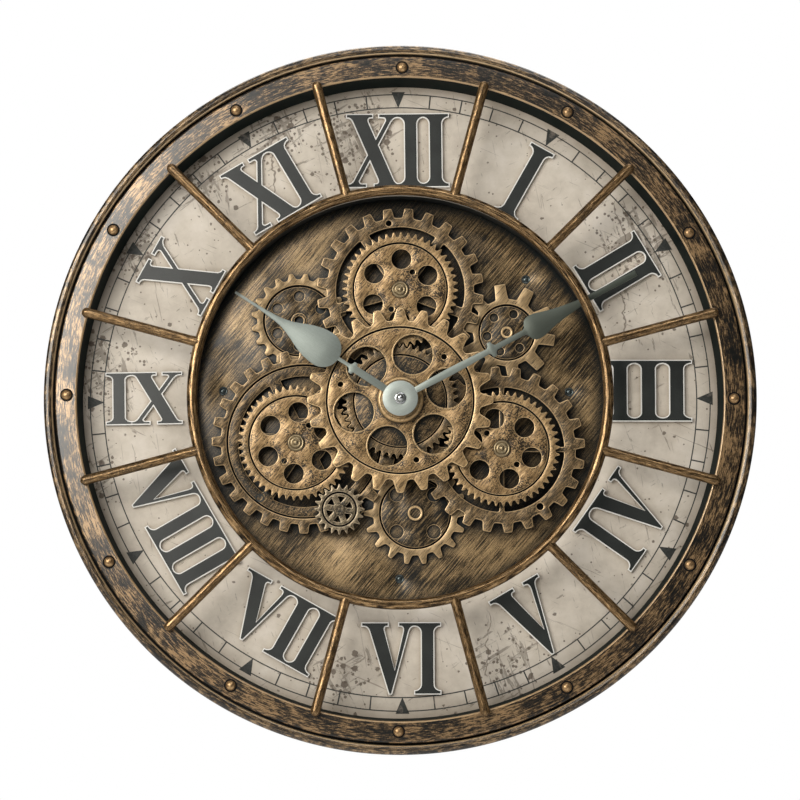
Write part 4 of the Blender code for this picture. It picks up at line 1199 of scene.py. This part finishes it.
def arbor_heads():
    """Shouldered pivots with rosette heads: a flange, a collar and a pointed centre."""
    front = FINE_GEAR[1] - 0.9
    low = LOW_GEAR[0]
    profile = [(0.0, low), (8.0, low), (8.0, LOW_GEAR[1]), (3.0, LOW_GEAR[1]),
               (3.0, RING_GEAR[1] + 0.3), (5.0, RING_GEAR[1] + 0.3),
               (5.0, FINE_GEAR[0] - 0.3), (3.0, FINE_GEAR[0] - 0.3), (3.0, front)]
    head = arc_profile([(3.0, front), (6.6, front), (6.6, front + 0.8), (5.6, front + 1.5),
                        (4.7, front + 1.3), (4.4, front + 0.9), (4.0, front + 0.9),
                        (3.9, front + 2.2), (3.0, front + 2.5), (2.4, front + 2.0),
                        (1.9, front + 2.1), (1.5, front + 3.1), (0.0, front + 3.6)], 0.3, 2)
    for name, centre in (("upper", UPPER), ("right", RIGHT), ("left", LEFT)):
        solid = Solid()
        solid.turned(profile + head[1:], 40)
        place(f"arbor_head_{name}", solid, [ARBOR_BRASS], f"arbor_{name}",
              centre, sharp=35.0)


# ---------------------------------------------------------------- plate and its screws

EYELETS = ((134.2, 180.2), (135.4, 273.9), (135.2, 45.3), (129.2, 86.2))


def plate_and_screws():
    solid = Solid()
    holes = [circle(8.3, segments=48), circle(3.0, from_centre(PINION), 32)]
    holes += [circle(2.7, polar(radius, angle), 28) for radius, angle in EYELETS]
    solid.plate(circle(PLATE_RADIUS, segments=FINE_ROUND), holes, PLATE[0] + 1.0, PLATE[1], 0.3)
    solid.plate(circle(PLATE_RADIUS, segments=FINE_ROUND), holes[:2], PLATE[0], PLATE[0] + 1.0,
                0.1, rear=1)
    place("plate_visual", solid, [PLATE_BRONZE, HOUSING_BLACK], "gear_plate")
    solid = Solid()
    places = [(polar(radius, angle), PLATE[1]) for radius, angle in EYELETS]
    wheel, spot = from_centre(box_centre("left_wheel")), polar(54.5, 218.0)
    places.append(((wheel[0] + spot[0], wheel[1] + spot[1]), RING_GEAR[1] - 1.8))
    for (x, z), top in places:
        # eyelet ring with a recessed cross-cut head
        solid.turned([(2.0, top - 1.2), (3.1, top - 0.1), (3.25, top + 0.25), (2.8, top + 0.5),
                      (2.3, top + 0.3), (2.0, top - 0.5)], 28, (x, z), closed=True)
        solid.turned([(0.0, top - 1.2), (2.1, top - 1.2), (1.9, top - 0.6), (1.1, top - 0.2),
                      (0.0, top - 0.1)], 28, (x, z))
    place("plate_screws", solid, [SCREW_GREY], sharp=40.0)


# ---------------------------------------------------------------- hands

def sheet_hand(name, blade, hub, bore, metal):
    """Thin hand: a shaped blade and a round hub pressed from sheet, edges rounded."""
    node = f"{name}_hand"
    back, front = span_of(node)
    solid = Solid()
    solid.plate(blade + [(-x, z) for x, z in reversed(blade)], [], back, front - 0.1, 0.35)
    solid.plate(circle(hub), [circle(bore, segments=32)], back - 0.02, front, 0.4)
    place(f"{node}_visual", solid, [metal], node, body=name,
          turn=hand_turn(node))


def hand_turn(node):
    """Clockwise angle of a hand, from the two corners of its tip."""
    points = [from_centre((v.co.x, v.co.z)) for v in frame["nodes"][node].data.vertices]
    reach = max(math.hypot(x, z) for x, z in points)
    tip = [p for p in points if math.hypot(*p) > reach - 0.1]
    return math.degrees(math.atan2(sum(x for x, _ in tip), sum(z for _, z in tip)))


def hands():
    bulb, bulb_centre = 14.0, 69.5
    arc = [(across, bulb_centre + up)
           for across, up in (polar(bulb, angle) for angle in range(174, 78, -6))]
    blade = [(2.8, 9.0), (2.8, 40.3), (3.4, 40.9), (4.7, 41.2), (4.7, 43.8), (3.2, 44.3),
             (1.9, 45.2), (1.4, 46.5), (1.4, 55.4)]
    blade += arc + [(13.6, 75.0), (12.7, 80.0), (11.1, 85.0), (9.1, 90.0), (6.8, 95.0),
                    (4.8, 100.0), (3.3, 105.0), (2.4, 110.0), (1.6, 120.0), (1.05, 130.0),
                    (1.0, 148.7)]
    sheet_hand("hour", blade, 11.0, 2.9, HOUR_GREY)
    blade = [(2.3, 12.0), (2.8, 30.0), (3.0, 42.0), (2.8, 58.0), (2.2, 75.0), (3.2, 76.3),
             (6.0, 77.0), (6.0, 79.8), (3.4, 80.5), (2.1, 82.0), (2.1, 105.0), (2.6, 107.0),
             (5.0, 108.2), (7.6, 109.6), (9.0, 111.6), (9.7, 114.4), (9.6, 117.0),
             (9.0, 120.0), (7.7, 125.0), (6.4, 130.0), (5.4, 135.0), (4.5, 140.0),
             (3.8, 145.0), (3.0, 151.0), (2.3, 165.0), (2.3, 202.0)]
    sheet_hand("minute", blade, 13.4, 1.6, MINUTE_GREY)


def boss_and_nut():
    back, front = BOSS
    solid = Solid()
    profile = arc_profile([(5.3, back), (17.7, back), (17.7, front - 3.2), (16.6, front - 1.6),
                           (15.0, front - 1.2), (14.6, front - 1.8), (13.6, front - 1.8),
                           (13.0, front), (5.3, front)], 0.7)
    solid.turned(profile, 96, closed=True, edge=0.35)
    place("boss_visual", solid, [GEAR_BRONZE, BLACK_GAP_SHADE], "centre_boss",
          sharp=40.0)
    back, front = span_of("cap_nut")
    base = MINUTE_HAND[1] + 0.3
    nut = [(0.0, base + 0.9), (2.0, base + 0.9), (2.0, base), (4.3, base), (4.3, base + 0.9),
           (4.0, base + 1.2), (3.5, base + 1.3)]
    dome_base = base + 1.3
    nut += [(3.3 * across, dome_base + (front - dome_base) * up) for across, up in quarter(8)]
    nut[-1] = (0.0, front)
    solid = Solid()
    solid.turned(nut, 48)
    place("nut_visual", solid, [NUT_STEEL], "cap_nut", body="minute",
          sharp=40.0)


# ---------------------------------------------------------------- pieces kept from the CAD

def keep_cad():
    """CAD pieces whose shape is right: softened edges and a finish of their own."""
    finishes = {
        "gear_housing": (HOUSING_BLACK, 0.3), "back_ring": (BACK_BOARD, 0.4),
        "hanger_plate": (ZINC, 0.25), "wall_bumper": (RUBBER, 0.4),
        "quartz_movement": (BLACK_PLASTIC, 0.35), "gear_drive_case": (BLACK_PLASTIC, 0.35),
        "battery_door": (BLACK_PLASTIC, 0.2), "gear_switch": (BLACK_PLASTIC, 0.2),
        "set_knob": (BLACK_PLASTIC, 0.2), "gear_motor": (ZINC, 0.3),
        "hour_tube": (ZINC, 0.1), "minute_shaft": (ZINC, 0.1),
    }
    for node, (material, width) in finishes.items():
        item = frame["nodes"][node]
        for slot in item.material_slots:
            slot.material = material
        bevel = item.modifiers.new("soft_edges", "BEVEL")
        bevel.width = width * MM
        bevel.segments = 2
        bevel.limit_method = "ANGLE"
        bevel.angle_limit = math.radians(40.0)
        bevel.harden_normals = False


# ---------------------------------------------------------------- stage, light and camera

CAMERA_RISE = -5.9              # the camera looks up at the clock a little
CAMERA_DISTANCE = 3.0
CAMERA_LENS = 180.0
AIM_BELOW = 2.9                 # the picture's centre below the ring's, in mm


def camera():
    data = bpy.data.cameras.new("camera")
    data.lens = CAMERA_LENS
    data.sensor_width = 36.0
    data.clip_end = 50.0
    item = linked("camera", data)
    rise = math.radians(CAMERA_RISE)
    middle = Vector((AXIS[0], -RING_AXIS * MM, AXIS[1]))
    item.location = middle + CAMERA_DISTANCE * Vector((0.0, -math.cos(rise), math.sin(rise)))
    aim = middle + Vector((-0.2 * MM, 0.0, -AIM_BELOW * MM))
    item.rotation_euler = (aim - item.location).to_track_quat("-Z", "Y").to_euler()
    bpy.context.scene.camera = item


def soft_box(name, offset_from_clock, size, power, colour=(1.0, 1.0, 1.0)):
    data = bpy.data.lights.new(name, "AREA")
    data.shape = "RECTANGLE"
    data.size, data.size_y = size
    data.energy = power
    data.color = colour
    item = linked(name, data)
    middle = Vector((AXIS[0], 0.0, AXIS[1]))
    item.location = middle + Vector(offset_from_clock)
    item.rotation_euler = (middle - item.location).to_track_quat("-Z", "Y").to_euler()
    return item


def stage():
    data = bpy.data.meshes.new("floor")
    reach, height = 2.6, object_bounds()[0][2] - 0.62
    corners = [(-reach, -reach, height), (reach, -reach, height), (reach, reach, height),
               (-reach, reach, height)]
    data.from_pydata(corners, [], [(0, 1, 2, 3)])
    floor = linked("floor", data)
    data.materials.append(satin_paint("floor_paint", (0.80, 0.80, 0.80), 0.8, tint=0.01))
    floor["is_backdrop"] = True
    world = bpy.data.worlds.new("studio")
    bpy.context.scene.world = world
    world.use_nodes = True
    tree = world.node_tree
    background, seen = tree.nodes["Background"], tree.nodes.new("ShaderNodeBackground")
    for node, strength in ((background, 0.05), (seen, 1.0)):
        node.inputs["Color"].default_value = (1.0, 1.0, 1.0, 1.0)
        node.inputs["Strength"].default_value = strength
    path = tree.nodes.new("ShaderNodeLightPath")
    mix = tree.nodes.new("ShaderNodeMixShader")
    tree.links.new(path.outputs["Is Camera Ray"], mix.inputs[0])
    tree.links.new(background.outputs[0], mix.inputs[1])
    tree.links.new(seen.outputs[0], mix.inputs[2])
    tree.links.new(mix.outputs[0], tree.nodes["World Output"].inputs["Surface"])
    bpy.context.scene.view_settings.view_transform = "Standard"
    soft_box("left_window", (-1.12, -1.80, 0.48), (1.5, 1.0), 40.0, (1.0, 0.965, 0.905))
    soft_box("top_soft", (0.25, -1.5, 1.5), (1.2, 0.8), 9.0)
    soft_box("front_fill", (0.9, -2.6, -0.3), (1.4, 1.4), 1.0).visible_glossy = False
    soft_box("back_fill", (-0.4, 2.5, 0.8), (1.6, 1.6), 34.0)
    soft_box("overhead", (0.0, 1.3, 2.8), (3.0, 3.0), 80.0)


camera()
stage()
outer_rim()
rivets()
tube_ring()
spokes()
dial_board()
dial_track()
numerals()
centre_coarse()
fine_gears()
drive_pinion()
stack_wheels()
plate_gears()
arbor_heads()
plate_and_screws()
hands()
boss_and_nut()
keep_cad()
